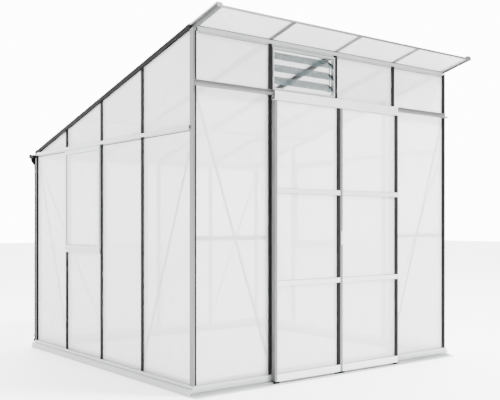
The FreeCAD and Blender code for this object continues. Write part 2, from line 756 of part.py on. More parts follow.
def wall_braces():
    """Flat diagonal braces in the end bays, on the backs of the seats."""
    parts = []
    inset, low, web = s.brace_inset, s.brace_low, s.metal
    for wall in (LEFT, RIGHT):
        band = s.brace_wide * (p.rail_low - low) / s.side_bay
        body = wall.body(f"{wall.name}_braces")
        wall.sheet(body, [brace(inset, p.rail_low, SIDE_LINES[0] - web, low, band),
                          brace(p.deep - inset, p.rail_low, SIDE_LINES[2] + web, low, band)],
                   p.seat_low, s.metal)
        parts.append(body)
    for wall, top in ((REAR, p.eave_low - s.leg_drop), (FRONT, p.track_low)):
        band = s.brace_wide * (top - low) / s.front_bay
        body = wall.body(f"{wall.name}_braces")
        left = brace(inset - p.half, top, FRONT_LINES[0] - web, low, band)
        wall.sheet(body, [left, flip(left)], p.seat_low, s.metal)
        parts.append(body)
    keep("wall_braces", join("Part::Compound", "braces", parts))


def roof_body(label):
    angle = Term(-math.degrees(math.atan(p.rise.value)), f"(-1 * atan({p.rise.text}))")
    return new_body(label, (0, p.front, s.front_height), angle)


def under(outline):
    """(across, depth) seen along the slope."""
    return [(across, -depth) for across, depth in outline]


def verge_outline(outline):
    """(inwards from the left wall's face, up from the roof) seen along the slope."""
    return [(across - p.half, up) for across, up in outline]


def verge_rails():
    body = roof_body("verge_rails")
    section = [(b, -a) for a, b in corner_section(s.verge_lip, s.verge_rise)]
    start = p.tip + s.metal
    rail = pad(body, "XZ_Plane", [verge_outline(section)], start, p.slope_end - start)
    mirror(body, [rail])
    keep("verge_rails", body)


def roof_rafters():
    body = roof_body("roof_rafters")
    heads = [bar_section(line)[:4] + bar_section(line)[12:] for line in FRONT_LINES]
    pad(body, "XZ_Plane", [under(o) for o in heads], p.slope_start,
        p.slope_end - p.slope_start)
    web, foot = s.metal / 2, s.foot_wide / 2
    heel = s.bar_deep - s.metal
    webs = [under([(line - web, p.seat_top), (line + web, p.seat_top), (line + web, heel),
                   (line + foot, heel), (line + foot, s.bar_deep), (line - foot, s.bar_deep),
                   (line - foot, heel), (line - web, heel)]) for line in FRONT_LINES]
    clear = p.sill_deep + s.play
    ahead = clear / p.level + s.bar_deep * p.rise
    behind = (p.deep - clear) / p.level + p.seat_top * p.rise
    pad(body, "XZ_Plane", webs, ahead, behind - ahead)
    keep("roof_rafters", body)


def roof_panels():
    body = roof_body("roof_panels")
    start = p.tip + s.metal + s.play
    nose = s.nose_wide / 2
    sheets = []
    for bay in range(BAYS):
        a = BACK_EDGES[bay] + (nose if bay else -nose)
        b = BACK_EDGES[bay + 1] - (nose if bay < BAYS - 1 else -nose)
        sheets.append(rect(a, b, start, p.slope_end))
    pad(body, "XY_Plane", sheets, -p.seat_top, s.panel_thick)
    keep("roof_panels", body)


def roof_strips():
    body = roof_body("roof_strips")
    pad(body, "XZ_Plane", [under(cap_section(line)) for line in FRONT_LINES], p.slope_start,
        p.slope_end - p.slope_start)
    skin, low, top = s.cap_skin, s.verge_cap, s.verge_rise
    left = verge_outline([(-skin, skin + top), (s.verge_over, skin + top), (s.verge_over, top),
                          (0, top), (0, skin - low), (p.panel_face, skin - low),
                          (p.panel_face, -low), (-skin, -low)])
    start = s.verge_end
    pad(body, "XZ_Plane", [left, flip(left)], start, p.slope_end - start)
    keep("roof_strips", body)


def roof_front_edge():
    body = roof_body("roof_front_edge")
    skin, leg = s.metal, s.edge_leg
    over, below = p.panel_face - skin, p.seat_low
    face = rect(p.tip, p.tip + skin, -p.edge_low, -over)
    pad(body, "YZ_Plane", [face], -p.half, 2 * p.half)
    legs = [rect(p.tip + skin / 2, p.tip + leg, -p.panel_face, -over),
            rect(p.tip + skin / 2, p.tip + leg, -below, -p.seat_top)]
    inset = p.seat_reach + s.play
    pad(body, "YZ_Plane", legs, inset - p.half, 2 * (p.half - inset))
    ear = verge_outline(rect(0, s.face_wide, -p.panel_face, s.verge_rise))
    pad(body, "XZ_Plane", [ear, flip(ear)], p.tip, skin)
    keep("roof_front_edge", body)


def roof_purlin():
    body = roof_body("roof_purlin")
    skin, wide, line = s.metal, s.purlin_wide, s.purlin_line / p.level
    top = -s.bar_deep
    outline = [(line, top), (line + wide, top), (line + wide, top - skin),
               (line + skin, top - skin), (line + skin, top - wide), (line, top - wide)]
    pad(body, "YZ_Plane", [outline], p.seat_reach - p.half, 2 * (p.half - p.seat_reach))
    keep("roof_purlin", body)


def gutter_outline():
    wide, low = s.gutter_gap + s.gutter_wide, p.gutter_low
    return [(s.gutter_gap, p.gutter_back), (s.gutter_gap, low), (wide - s.gutter_lean, low),
            (wide, p.gutter_lip)]


def gutter():
    body = new_body("gutter", (0, p.rear, 0))
    skin = s.gutter_skin
    back, floor, corner, lip = gutter_outline()
    outline = [back, floor, corner, lip, (lip[0] - skin, lip[1]),
               (corner[0] - skin, corner[1] + skin), (floor[0] + skin, floor[1] + skin),
               (back[0] + skin, back[1])]
    pad(body, "YZ_Plane", [outline], -p.half - s.gutter_over, 2 * (p.half + s.gutter_over))
    cut(body, "XY_Plane", [(s.outlet_in - p.half, s.outlet_out,
                            s.pipe_wide / 2 - s.pipe_skin)])
    keep("gutter", body)


def end_caps():
    """Caps on both ends of the gutter and on the front ends of the verge strips."""
    ends = new_body("gutter_ends", (0, p.rear, 0))
    reach = p.half + s.gutter_over
    for start in (-reach - s.gutter_skin, reach):
        pad(ends, "YZ_Plane", [gutter_outline()], start, s.gutter_skin)
    verge = roof_body("verge_ends")
    out, low, top = s.verge_block, s.verge_cap + s.verge_block, s.verge_rise
    block = verge_outline([(-out, out + top), (s.verge_over, out + top), (s.verge_over, top),
                           (0, top), (0, -s.verge_lip), (p.panel_face, -s.verge_lip),
                           (p.panel_face, -low), (-out, -low)])
    pad(verge, "XZ_Plane", [block, flip(block)], s.verge_start, s.verge_end - s.verge_start)
    keep("end_caps", join("Part::Compound", "caps", [ends, verge]))


def tube(label, points, radius, skin, bend):
    """A round tube along straight runs joined by arcs, from the sheet's present values."""
    edges = []
    spots = [V(*[term(v).value for v in point]) for point in points]
    last = spots[0]
    for before, corner, after in zip(spots, spots[1:], spots[2:]):
        into, out = (corner - before).normalize(), (after - corner).normalize()
        turn = into.getAngle(out)
        back = bend.value * math.tan(turn / 2)
        first, final = corner - into * back, corner + out * back
        middle_way = (out - into).normalize()
        rise = bend.value / math.cos(turn / 2) - bend.value
        edges.append(Part.LineSegment(last, first).toShape())
        edges.append(Part.Arc(first, corner + middle_way * rise, final).toShape())
        last = final
    edges.append(Part.LineSegment(last, spots[-1]).toShape())
    path = Part.Wire(edges)
    shapes = []
    for size in (radius.value, radius.value - skin.value):
        ring = Part.Wire([Part.Circle(spots[0], spots[1] - spots[0], size).toShape()])
        shapes.append(path.makePipeShell([ring], True, False))
    piece = DOC.addObject("Part::Feature", label)
    piece.Shape = shapes[0].cut(shapes[1])
    return piece


def downpipe():
    x, wall_side = s.pipe_in - p.half, p.rear + s.pipe_out
    mouth, outlet = s.outlet_in - p.half, p.rear + s.outlet_out
    radius, skin = s.pipe_wide / 2, s.pipe_skin
    end, knee = s.elbow_end, s.pipe_low - s.shoe_end
    elbow = tube("elbow", [(mouth, outlet, p.gutter_low), (mouth, outlet, p.gutter_low - end),
                           (x, wall_side, p.pipe_top + end), (x, wall_side, p.pipe_top)],
                 radius, skin, s.pipe_bend)
    shoe = tube("shoe", [(x, wall_side, s.pipe_low), (x, wall_side, knee),
                         (x, wall_side + s.shoe_out, knee - s.shoe_fall)],
                radius, skin, s.pipe_bend)
    keep("downpipe_bends", join("Part::Compound", "bends", [elbow, shoe]))
    outer = cylinder("pipe_outside", (x, wall_side, s.pipe_low), "z", radius,
                     p.pipe_top - s.pipe_low)
    inner = cylinder("pipe_bore", (x, wall_side, s.pipe_low), "z", radius - skin,
                     p.pipe_top - s.pipe_low)
    keep("downpipe", join("Part::Cut", "pipe", [outer, inner]))
    clips = []
    for index, high in enumerate((p.clip_lower, p.clip_upper)):
        name = f"clip_{index + 1}"
        bore = radius + s.play
        band = cylinder(f"{name}_band", (x, wall_side, high), "z", bore + s.clip_skin,
                        s.clip_high)
        foot = box(f"{name}_foot", (x - s.foot_wide / 2, p.rear, high),
                   (s.foot_wide, s.pipe_out - radius, s.clip_high))
        solid = join("Part::MultiFuse", f"{name}_solid", [band, foot])
        hole = cylinder(f"{name}_hole", (x, wall_side, high), "z", bore, s.clip_high)
        clips.append(join("Part::Cut", name, [solid, hole]))
    keep("pipe_clips", join("Part::Compound", "clips", clips))


def door(side, left_edge):
    """One sliding door, from its left edge: stiles, rails, panes and dark trim."""
    out, back, skin, step = p.door_front, s.door_back, s.metal, s.stile_step
    wide, groove = s.stile_wide, s.pane_groove
    far = left_edge + p.door_wide
    pane_out, pane_in = s.pane_back + s.panel_thick, s.pane_back
    low, top = s.door_low, p.cover_low

    stiles = FRONT.body(f"{side}_door_stiles")
    inner = left_edge + wide
    lip, step_in = inner - s.grip_wide, s.grip_deep - out
    left = [(left_edge, -out), (lip, -out), (lip, step_in), (inner, step_in),
            (inner, -pane_out), (inner - groove, -pane_out), (inner - groove, -pane_in),
            (inner, -pane_in), (inner, -back), (left_edge, -back)]
    left_bore = rect(left_edge + skin, inner - groove - skin, skin - out, -back - skin)
    edge = far - wide
    right = [(far, -out), (far, -back), (edge, -back), (edge, -pane_in),
             (edge + groove, -pane_in), (edge + groove, -pane_out), (edge, -pane_out),
             (edge, step - out), (far - s.stile_lip, step - out), (far - s.stile_lip, -out)]
    right_bore = rect(edge + groove + skin, far - skin, step + skin - out, -back - skin)
    FRONT.upright(stiles, [left, left_bore, right, right_bore], low, top - low)
    grip_low, grip_top = s.grip_high - s.grip_long / 2, s.grip_high + s.grip_long / 2
    for start, end in ((low, grip_low), (grip_top, top)):
        FRONT.upright(stiles, [rect(lip, inner, -out, step_in)], start, end - start)
    keep(f"{side}_door_stiles", stiles)

    rails = FRONT.body(f"{side}_door_rails")
    box_top, cover = p.box_top, p.cover_top
    head = [(-out, top), (-pane_out, top), (-pane_out, top + groove), (-pane_in, top + groove),
            (-pane_in, top), (-back, top), (-back, box_top), (skin - out, box_top),
            (skin - out, cover), (-out, cover)]
    head_bore = rect(skin - out, -back - skin, top + groove + skin, box_top - skin)
    FRONT.lengthways(rails, [head, head_bore], left_edge, p.door_wide)
    high = p.foot_top
    foot = [(-out, low), (-back, low), (-back, high), (-pane_in, high),
            (-pane_in, high - groove), (-pane_out, high - groove), (-pane_out, high),
            (-out, high)]
    foot_bore = rect(skin - out, -back - skin, low + skin, high - groove - skin)
    bands = [(low, high)]
    sections = [foot, foot_bore]
    for level in (p.lower_rail, p.upper_rail):
        crest = level + s.door_rail_high
        under_web, over_web = crest - wide, level + wide
        lip = pane_in - skin
        sections.append([(-out, level), (-pane_out, level), (-pane_out, under_web),
                         (-pane_in, under_web), (-pane_in, level + groove),
                         (-lip, level + groove), (-lip, crest - groove),
                         (-pane_in, crest - groove), (-pane_in, over_web),
                         (-pane_out, over_web), (-pane_out, crest), (-out, crest)])
        sections.append(rect(skin - out, -pane_out - skin, level + skin, crest - skin))
        bands.append((level, crest))
    FRONT.lengthways(rails, sections, inner, edge - inner)
    tabs = [rect(-out, step - out, a, b) for a, b in bands]
    FRONT.lengthways(rails, tabs, edge, wide - s.stile_lip)
    axle, line = axle_height(), s.track_proud - s.metal / 2
    pins = [(x, axle, s.axle_wide / 2) for x in roller_places(left_edge)]
    pin_end = s.axle_end + s.roller_wide / 2 - line
    pad(rails, "XZ_Plane", pins, skin - out, pin_end - (skin - out))
    keep(f"{side}_door_rails", rails)

    panes = FRONT.body(f"{side}_door_panes")
    play = s.play
    a, b = inner - groove + play, edge + groove - play
    levels = [high - groove]
    for level in (p.lower_rail, p.upper_rail):
        levels += [level + s.door_rail_high - wide, level + wide]
    levels.append(top + groove)
    sheets = [rect(a, b, lower + play, upper - play)
              for lower, upper in zip(levels[::2], levels[1::2])]
    FRONT.sheet(panes, sheets, -pane_out, s.panel_thick)
    keep(f"{side}_door_panes", panes)

    trim = FRONT.body(f"{side}_door_trim")
    shoulder = far - s.stile_lip
    strip = [(shoulder - s.door_strip, -out), (shoulder, -out), (shoulder, step - out),
             (edge, step - out), (edge, -pane_out), (shoulder - s.door_strip, -pane_out)]
    ends = [b for a, b in bands]
    starts = [a for a, b in bands[1:]] + [top]
    for start, end in zip(ends, starts):
        FRONT.upright(trim, [strip], start, end - start)
    rib, half = p.guide_line, s.guide_thick / 2 + s.guide_side
    fork = [(-rib - s.glide_wide / 2, low), (-rib + s.glide_wide / 2, low),
            (-rib + s.glide_wide / 2, p.glide_low), (half - rib, p.glide_low),
            (half - rib, p.guide_top + s.guide_side), (-half - rib, p.guide_top + s.guide_side),
            (-half - rib, p.glide_low), (-rib - s.glide_wide / 2, p.glide_low)]
    for start in (left_edge, far - s.glide_long):
        FRONT.lengthways(trim, [fork], start, s.glide_long)
    keep(f"{side}_door_trim", trim)

    line = s.track_proud - s.metal / 2
    for which, x in zip(("left", "right"), roller_places(left_edge)):
        name = f"{side}_door_{which}_roller"
        y = p.front - line
        width, slot = s.roller_wide, s.groove_wide
        whole = cylinder(f"{name}_rim", (x, y - width / 2, axle), "y", s.roller_out, width)
        ring = cylinder(f"{name}_ring", (x, y - slot / 2, axle), "y", s.roller_out * 2, slot)
        core = cylinder(f"{name}_core", (x, y - slot / 2, axle), "y", s.roller_groove, slot)
        channel = join("Part::Cut", f"{name}_channel", [ring, core])
        wheel = join("Part::Cut", f"{name}_wheel", [whole, channel])
        bore = cylinder(f"{name}_bore", (x, y - width / 2, axle), "y",
                        s.axle_wide / 2 + s.play, width)
        keep(name, join("Part::Cut", f"{name}_bored", [wheel, bore]))


def axle_height():
    return p.track_low + s.track_lip + s.roller_groove


def roller_places(left_edge):
    return [left_edge + s.roller_inset, left_edge + p.door_wide - s.roller_inset]


def doors():
    door("left", -s.door_gap - p.door_wide)
    door("right", s.door_gap)


def louvre_frame():
    """An aluminium frame glazed into the transom bay over the left door."""
    body = FRONT.body("louvre_frame")
    left, right, skin = -s.front_bay, term(0), s.metal
    inner, outer = p.panel_face, p.seat_top
    web, thick, face = p.jamb_in, s.jamb_skin, p.jamb_in + s.jamb_face
    near, deep = s.nose_wide / 2 + s.play, s.louvre_deep
    low, top = p.louvre_low, p.louvre_top
    under, over = p.header_low + skin, p.head_low + s.web_drop - skin
    flanges, webs = [], []
    for line, way in ((left, 1), (right, -1)):
        flanges.append(rect(line + way * near, line + way * (web + thick), inner, outer))
        webs.append([(line + way * web, -skin), (line + way * face, -skin),
                     (line + way * face, 0), (line + way * (web + thick), 0),
                     (line + way * (web + thick), deep), (line + way * web, deep)])
    FRONT.upright(body, flanges, under, over - under)
    FRONT.upright(body, webs, low, top - low)
    sections = []
    for way, edge, limit in ((1, low, under), (-1, top, over)):
        shelf, lip = edge + way * thick, edge + way * s.jamb_face
        sections.append([(inner, limit), (outer, limit), (outer, edge), (deep, edge),
                         (deep, shelf), (0, shelf), (0, lip), (-skin, lip), (-skin, edge),
                         (inner, edge)])
    FRONT.lengthways(body, sections, left + web, right - left - 2 * web)
    cut(body, "YZ_Plane", [(s.blade_line, high, s.pivot_wide / 2 + s.play)
                           for high in blade_levels()])
    keep("louvre_frame", body)


def blade_levels():
    return [p.blade_first + k * s.blade_pitch for k in range(BLADES)]


def turned(across, up):
    """A point of the resting louvre, seen in a blade's own tilted axes."""
    cos, sin = tilt("cos"), tilt("sin")
    return across * cos - up * sin, across * sin + up * cos


def tilt(name):
    angle = math.radians(s.blade_tilt.value)
    return Term(getattr(math, name)(angle), f"{name}({s.blade_tilt.text})")


def louvre_blades():
    left, right = -s.front_bay, term(0)
    jamb = p.jamb_in + s.jamb_skin
    gap = 2 * s.link_gap + s.link_thick
    left_end, right_end = left + jamb + gap, right - jamb - gap
    plate, half = s.holder_thick, s.holder_wide / 2
    glass = s.glass_thick / 2
    for index, high in enumerate(blade_levels(), start=1):
        spot = (0, p.front + s.blade_line, high)
        pane = new_body(f"louvre_blade_{index}", spot, -s.blade_tilt)
        start = left_end + plate - s.holder_grip
        pad(pane, "YZ_Plane", [rect(-glass, glass, -s.blade_wide / 2, s.blade_wide / 2)],
            start, right_end - plate + s.holder_grip - start)
        keep(f"louvre_blade_{index}", pane)
        holders = new_body(f"louvre_holders_{index}", spot, -s.blade_tilt)
        long, grip = s.holder_long / 2, s.holder_grip
        crank_y, crank_z = turned(s.crank_in, s.crank_up)
        ear = s.link_wide / 2
        block = rect(-half, half, -long, long)
        arm = [(-half, -long), (half, -long), (half, crank_z - s.holder_wide),
               (crank_y + ear, crank_z - ear), (crank_y + ear, crank_z + ear),
               (half, crank_z + ear), (half, long), (-half, long)]
        pad(holders, "YZ_Plane", [block], left_end, plate - grip)
        pad(holders, "YZ_Plane", [arm], right_end - plate + grip, plate - grip)
        clamps = [rect(glass + s.play, half, -long, long),
                  rect(-half, -glass - s.play, -long, long)]
        pad(holders, "YZ_Plane", clamps, left_end + plate - grip, grip)
        pad(holders, "YZ_Plane", clamps, right_end - plate, grip)
        pivot = [(0, 0, s.pivot_wide / 2)]
        reach = gap + s.jamb_skin
        pad(holders, "YZ_Plane", pivot, left_end - reach, reach)
        pad(holders, "YZ_Plane", pivot, right_end, reach)
        pad(holders, "YZ_Plane", [(crank_y, crank_z, s.crank_pin / 2)], right_end,
            s.link_gap + s.link_thick)
        keep(f"louvre_holders_{index}", holders)

    link = FRONT.body("louvre_link")
    line = s.blade_line + s.crank_in
    cranks = [high + s.crank_up for high in blade_levels()]
    half = s.link_wide / 2
    low, top = cranks[0] - s.link_tail, cranks[-1] + half
    outlines = [rect(line - half, line + half, low, top)]
    outlines += [(line, high, s.crank_pin / 2 + s.play) for high in cranks]
    face = right_end + s.link_gap
    pad(link, "YZ_Plane", outlines, face, s.link_thick)
    keep("louvre_link", link)
    knob = cylinder("louvre_knob", (face + s.link_thick / 2, p.front + line + half,
                                    low + s.knob_wide / 2), "y", s.knob_wide / 2, s.knob_long)
    keep("louvre_knob", knob)


def windows():
    for wall in (LEFT, RIGHT):
        window(wall)


def window(wall):
    """A top-hung sash between two bar lines, its pane, and the stay that holds it open."""
    first, last = SIDE_LINES[1], SIDE_LINES[2]
    rail, skin, groove, play = s.sash_rail, s.metal, s.pane_groove, s.play
    out, back, low = s.sash_out, s.sash_back, p.sash_low
    eaves, hook = p.rail_low, s.hinge_rod + s.play + s.hinge_skin
    pin_high = eaves - s.hinge_drop
    top = pin_high - hook + play
    pane_out = s.sash_pane
    pane_in = pane_out - s.panel_thick

    frame = wall.body(f"{wall.name}_sash_frame")
    stiles = []
    for edge, way in ((first, 1), (last, -1)):
        inner = edge + way * rail
        stiles.append([(edge, -out), (inner, -out), (inner, -pane_out),
                       (inner - way * groove, -pane_out), (inner - way * groove, -pane_in),
                       (inner, -pane_in), (inner, back), (edge, back)])
        stiles.append(rect(edge + way * skin, inner - way * (groove + skin), skin - out,
                           back - skin))
    wall.upright(frame, stiles, low, top - low)
    rails = []
    for edge, way in ((low, 1), (top, -1)):
        inner = edge + way * rail
        rails.append([(-out, edge), (-out, inner), (-pane_out, inner),
                      (-pane_out, inner - way * groove), (-pane_in, inner - way * groove),
                      (-pane_in, inner), (back, inner), (back, edge)])
        rails.append(rect(skin - out, back - skin, edge + way * skin,
                          inner - way * (groove + skin)))
    wall.lengthways(frame, rails, first + rail, last - first - 2 * rail)
    middle, lug = (first + last) / 2, s.stay_thick / 2 + play
    pivot, level = back + s.stay_lug - s.stay_pin, low + s.stay_rise
    tab = rect(back, back + s.stay_lug, level - s.stay_high / 2, level + s.stay_high / 2)
    wall.lengthways(frame, [tab], middle + lug, skin)
    wall.lengthways(frame, [tab], middle - lug - skin, skin)
    pin = (wall.inwards * pivot, level, s.stay_pin / 2)
    pad(frame, "XZ_Plane", [pin], middle - lug - skin, 2 * (lug + skin))

    begin = first + s.hinge_end
    length = last - first - 2 * s.hinge_end
    spot = (wall.spot[0] - wall.inwards * s.hinge_line, p.front + begin, pin_high)
    start = -HOOK_BACK if wall.inwards > 0 else 180 + HOOK_BACK - HOOK_SWEEP
    shell = cylinder(f"{wall.name}_hook_shell", spot, "y", hook, length, HOOK_SWEEP, start)
    bore = cylinder(f"{wall.name}_hook_bore", spot, "y", s.hinge_rod + play, length)
    curl = join("Part::Cut", f"{wall.name}_hook", [shell, bore])
    keep(f"{wall.name}_window_sash", join("Part::MultiFuse", f"{wall.name}_sash",
                                          [frame, curl]))

    pane = wall.body(f"{wall.name}_window_pane")
    inset = rail - groove + play
    wall.sheet(pane, [rect(first + inset, last - inset, low + inset, top - inset)],
               -pane_out, s.panel_thick)
    keep(f"{wall.name}_window_pane", pane)

    stay = wall.body(f"{wall.name}_window_stay")
    outer = pivot - s.stay_high / 2
    bar = rect(outer, outer + s.stay_long, level - s.stay_high / 2, level + s.stay_high / 2)
    hole = (wall.inwards * pivot, level, s.stay_pin / 2 + play)
    flipped = [(wall.inwards * depth, high) for depth, high in bar]
    pad(stay, "XZ_Plane", [flipped, hole], middle - s.stay_thick / 2, s.stay_thick)
    keep(f"{wall.name}_window_stay", stay)


def build():
    base_rails()
    door_threshold()
    wall_sills()
    frame_bolts()
    corner_posts()
    wall_bars()
    wall_panels()
    wall_strips()
    side_cross_rails()
    front_cross_rails()
    top_rails()
    door_track()
    track_stops()
    wall_braces()
    verge_rails()
    roof_rafters()
    roof_purlin()
    roof_front_edge()
    roof_panels()
    roof_strips()
    gutter()
    end_caps()
    downpipe()
    louvre_frame()
    louvre_blades()
    doors()
    windows()


def check():
    DOC.recompute()
    broken = [item.Name for item in DOC.Objects
              if "Invalid" in item.State or "Error" in item.State]
    if broken:
        raise RuntimeError("These failed to build: " + ", ".join(broken))
    for name, piece in NODES.items():
        if piece.Shape.isNull() or not piece.Shape.isValid() or not piece.Shape.Solids:
            raise RuntimeError(f"{name} has no valid solid")


def write():
    os.makedirs("parts", exist_ok=True)
    for name, piece in NODES.items():
        piece.Shape.exportStep(f"parts/{name}.step")
        print(name, len(piece.Shape.Solids), "solids", round(piece.Shape.Volume / 1000), "cm3")


build()
check()
write()
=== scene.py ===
# %% [markdown]
# # A lean-to greenhouse
#
# The greenhouse is a single-slope frame of aluminium bars that stands on a galvanised steel
# base. Twin-wall sheets fill the bays, black strips snap over the bars, two doors slide under
# the roof's overhang, and a glass louvre and two hinged windows let the air through.
#
# The solids of the frame are already at their real size and place. This script gives them
# their finishes, adds the small hardware that is too fine for the solids, and sets up the
# light and the camera. One unit is a metre, X runs along the doors, Y from the doors to the
# low wall, and Z up.

# %% Load the frame
import json
import math

import bmesh
import bpy
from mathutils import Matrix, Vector


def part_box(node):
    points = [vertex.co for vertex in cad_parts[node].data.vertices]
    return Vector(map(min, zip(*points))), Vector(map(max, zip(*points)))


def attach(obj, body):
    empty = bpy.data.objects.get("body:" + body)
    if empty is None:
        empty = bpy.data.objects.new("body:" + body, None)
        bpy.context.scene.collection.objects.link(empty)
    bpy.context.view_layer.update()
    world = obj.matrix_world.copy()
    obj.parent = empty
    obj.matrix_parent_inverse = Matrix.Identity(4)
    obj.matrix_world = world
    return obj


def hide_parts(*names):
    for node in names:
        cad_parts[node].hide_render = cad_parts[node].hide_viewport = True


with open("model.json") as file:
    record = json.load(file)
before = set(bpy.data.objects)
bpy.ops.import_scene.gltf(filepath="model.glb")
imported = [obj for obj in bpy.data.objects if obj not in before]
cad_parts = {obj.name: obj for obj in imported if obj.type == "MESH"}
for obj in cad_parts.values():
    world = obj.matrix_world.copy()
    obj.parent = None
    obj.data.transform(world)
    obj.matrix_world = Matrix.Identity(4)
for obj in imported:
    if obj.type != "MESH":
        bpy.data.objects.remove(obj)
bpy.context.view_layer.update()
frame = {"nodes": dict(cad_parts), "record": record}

nodes = frame["nodes"]

# %% [markdown]
# ## Camera and light
#
# The photograph was taken from head height in front of the left corner, with level film and
# a slight upward shift, so every upright stays upright. A camera on a tripod would be tilted
# and the uprights would lean together. The shift keeps them straight instead.

# %% Camera
CAMERA_PLACE = (-4.0307, -5.3187, 1.1058)
CAMERA_TURN = 37.955
LENS = 55.58
SHIFT_UP = 0.049

camera_data = bpy.data.cameras.new("camera")
camera_data.sensor_width = 36
camera_data.lens = LENS
camera_data.shift_y = SHIFT_UP
camera_data.clip_end = 200
camera = bpy.data.objects.new("camera", camera_data)
camera.location = CAMERA_PLACE
camera.rotation_euler = (math.radians(90), 0, math.radians(-CAMERA_TURN))
bpy.context.scene.collection.objects.link(camera)
bpy.context.scene.camera = camera
print("camera", CAMERA_PLACE)

# %% [markdown]
# The light is that of a white studio. The backdrop behind the greenhouse is bright and the
# room behind the camera is dimmer, so the backdrop comes out white while metal that faces the
# camera still has something grey to mirror. A sky that changes with direction does both. One
# lamp stands high to the right of the doors: the roof's overhang throws its soft shadow down
# to the door track and leaves the right end of the wall lit, as in the picture.

# %% Sky and lamps
SKY_BEHIND = 13.5
SKY_ROOM = 1.6
SKY_EDGES = (0.1, 0.85)
KEY_LAMP = dict(place=(3.5, -5.9, 8.9), size=2.2, power=3800)
FILL_LAMP = dict(place=(-9.0, -1.0, 5.0), size=4.0, power=250)

look = (math.sin(math.radians(CAMERA_TURN)), math.cos(math.radians(CAMERA_TURN)), 0.0)
sky = bpy.data.worlds.new("studio")
sky.use_nodes = True
sky_nodes = sky.node_tree.nodes
sky_links = sky.node_tree.links
direction = sky_nodes.new("ShaderNodeTexCoord")
ahead = sky_nodes.new("ShaderNodeVectorMath")
ahead.operation = "DOT_PRODUCT"
ahead.inputs[1].default_value = look
shade = sky_nodes.new("ShaderNodeMapRange")
shade.interpolation_type = "SMOOTHSTEP"
for socket, value in zip(shade.inputs[1:5], (*SKY_EDGES, SKY_ROOM, SKY_BEHIND)):
    socket.default_value = value
sky_links.new(direction.outputs["Generated"], ahead.inputs[0])
sky_links.new(ahead.outputs["Value"], shade.inputs[0])
sky_links.new(shade.outputs[0], sky_nodes["Background"].inputs["Strength"])
sky_nodes["Background"].inputs["Color"].default_value = (1, 1, 1, 1)
bpy.context.scene.world = sky


def lamp(name, place, size, power):
    data = bpy.data.lights.new(name, "AREA")
    data.size = size
    data.energy = power
    lamp_object = bpy.data.objects.new(name, data)
    lamp_object.location = place
    aim = Vector((0, 0, 1)) - Vector(place)
    lamp_object.rotation_euler = aim.to_track_quat("-Z", "Y").to_euler()
    bpy.context.scene.collection.objects.link(lamp_object)
    return lamp_object


lamp("key_lamp", **KEY_LAMP)
lamp("fill_lamp", **FILL_LAMP)
print("lamps:", KEY_LAMP["power"], "W and", FILL_LAMP["power"], "W")

# %% [markdown]
# ## A small language for finishes
#
# A finish is a net of shader nodes. Drawn by hand such nets are hard to read, so three small
# classes write them. `Signal` wraps a socket and lets it be used in plain arithmetic. `Net` adds
# every other kind of node through one method, and `Finish` is a net that owns one material. The
# recipes further down are nets too, for shapes instead of finishes.

# %% Signal, Net and Finish


class Signal:
    """A socket of a net that adds Math nodes when it is used in an expression."""

    def __init__(self, net, socket):
        self.net = net
        self.socket = socket

    def maths(self, operation, first, second):
        return self.net.add("ShaderNodeMath", {"operation": operation}, {0: first, 1: second})

    def __add__(self, other):
        return self.maths("ADD", self, other)

    def __radd__(self, other):
        return self.maths("ADD", other, self)

    def __sub__(self, other):
        return self.maths("SUBTRACT", self, other)

    def __rsub__(self, other):
        return self.maths("SUBTRACT", other, self)

    def __mul__(self, other):
        return self.maths("MULTIPLY", self, other)

    def __rmul__(self, other):
        return self.maths("MULTIPLY", other, self)

    def __truediv__(self, other):
        return self.maths("DIVIDE", self, other)

    def __gt__(self, other):
        return self.maths("GREATER_THAN", self, other)

    def __lt__(self, other):
        return self.maths("LESS_THAN", self, other)

    def part(self):
        """What is left after the whole number."""
        return self.maths("FRACT", self, 0)

    def size(self):
        return self.maths("ABSOLUTE", self, 0)


class Net:
    """A tree of nodes, written node by node."""

    def join(self, value, socket):
        """Link a signal, or a list of them, or set a plain value."""
        if isinstance(value, list):
            for item in reversed(value):
                self.tree.links.new(item.socket, socket)
        elif isinstance(value, Signal):
            self.tree.links.new(value.socket, socket)
        else:
            socket.default_value = value

    def add(self, kind, settings=None, inputs=None, output=0):
        """A node of any kind: its settings first, then the values or links of its sockets."""
        node = self.tree.nodes.new(kind)
        for name, value in (settings or {}).items():
            setattr(node, name, value)
        for name, value in (inputs or {}).items():
            self.join(value, node.inputs[name])
        return Signal(self, node.outputs[output])

    def point(self, x, y, z):
        return self.add("ShaderNodeCombineXYZ", None, {0: x, 1: y, 2: z})


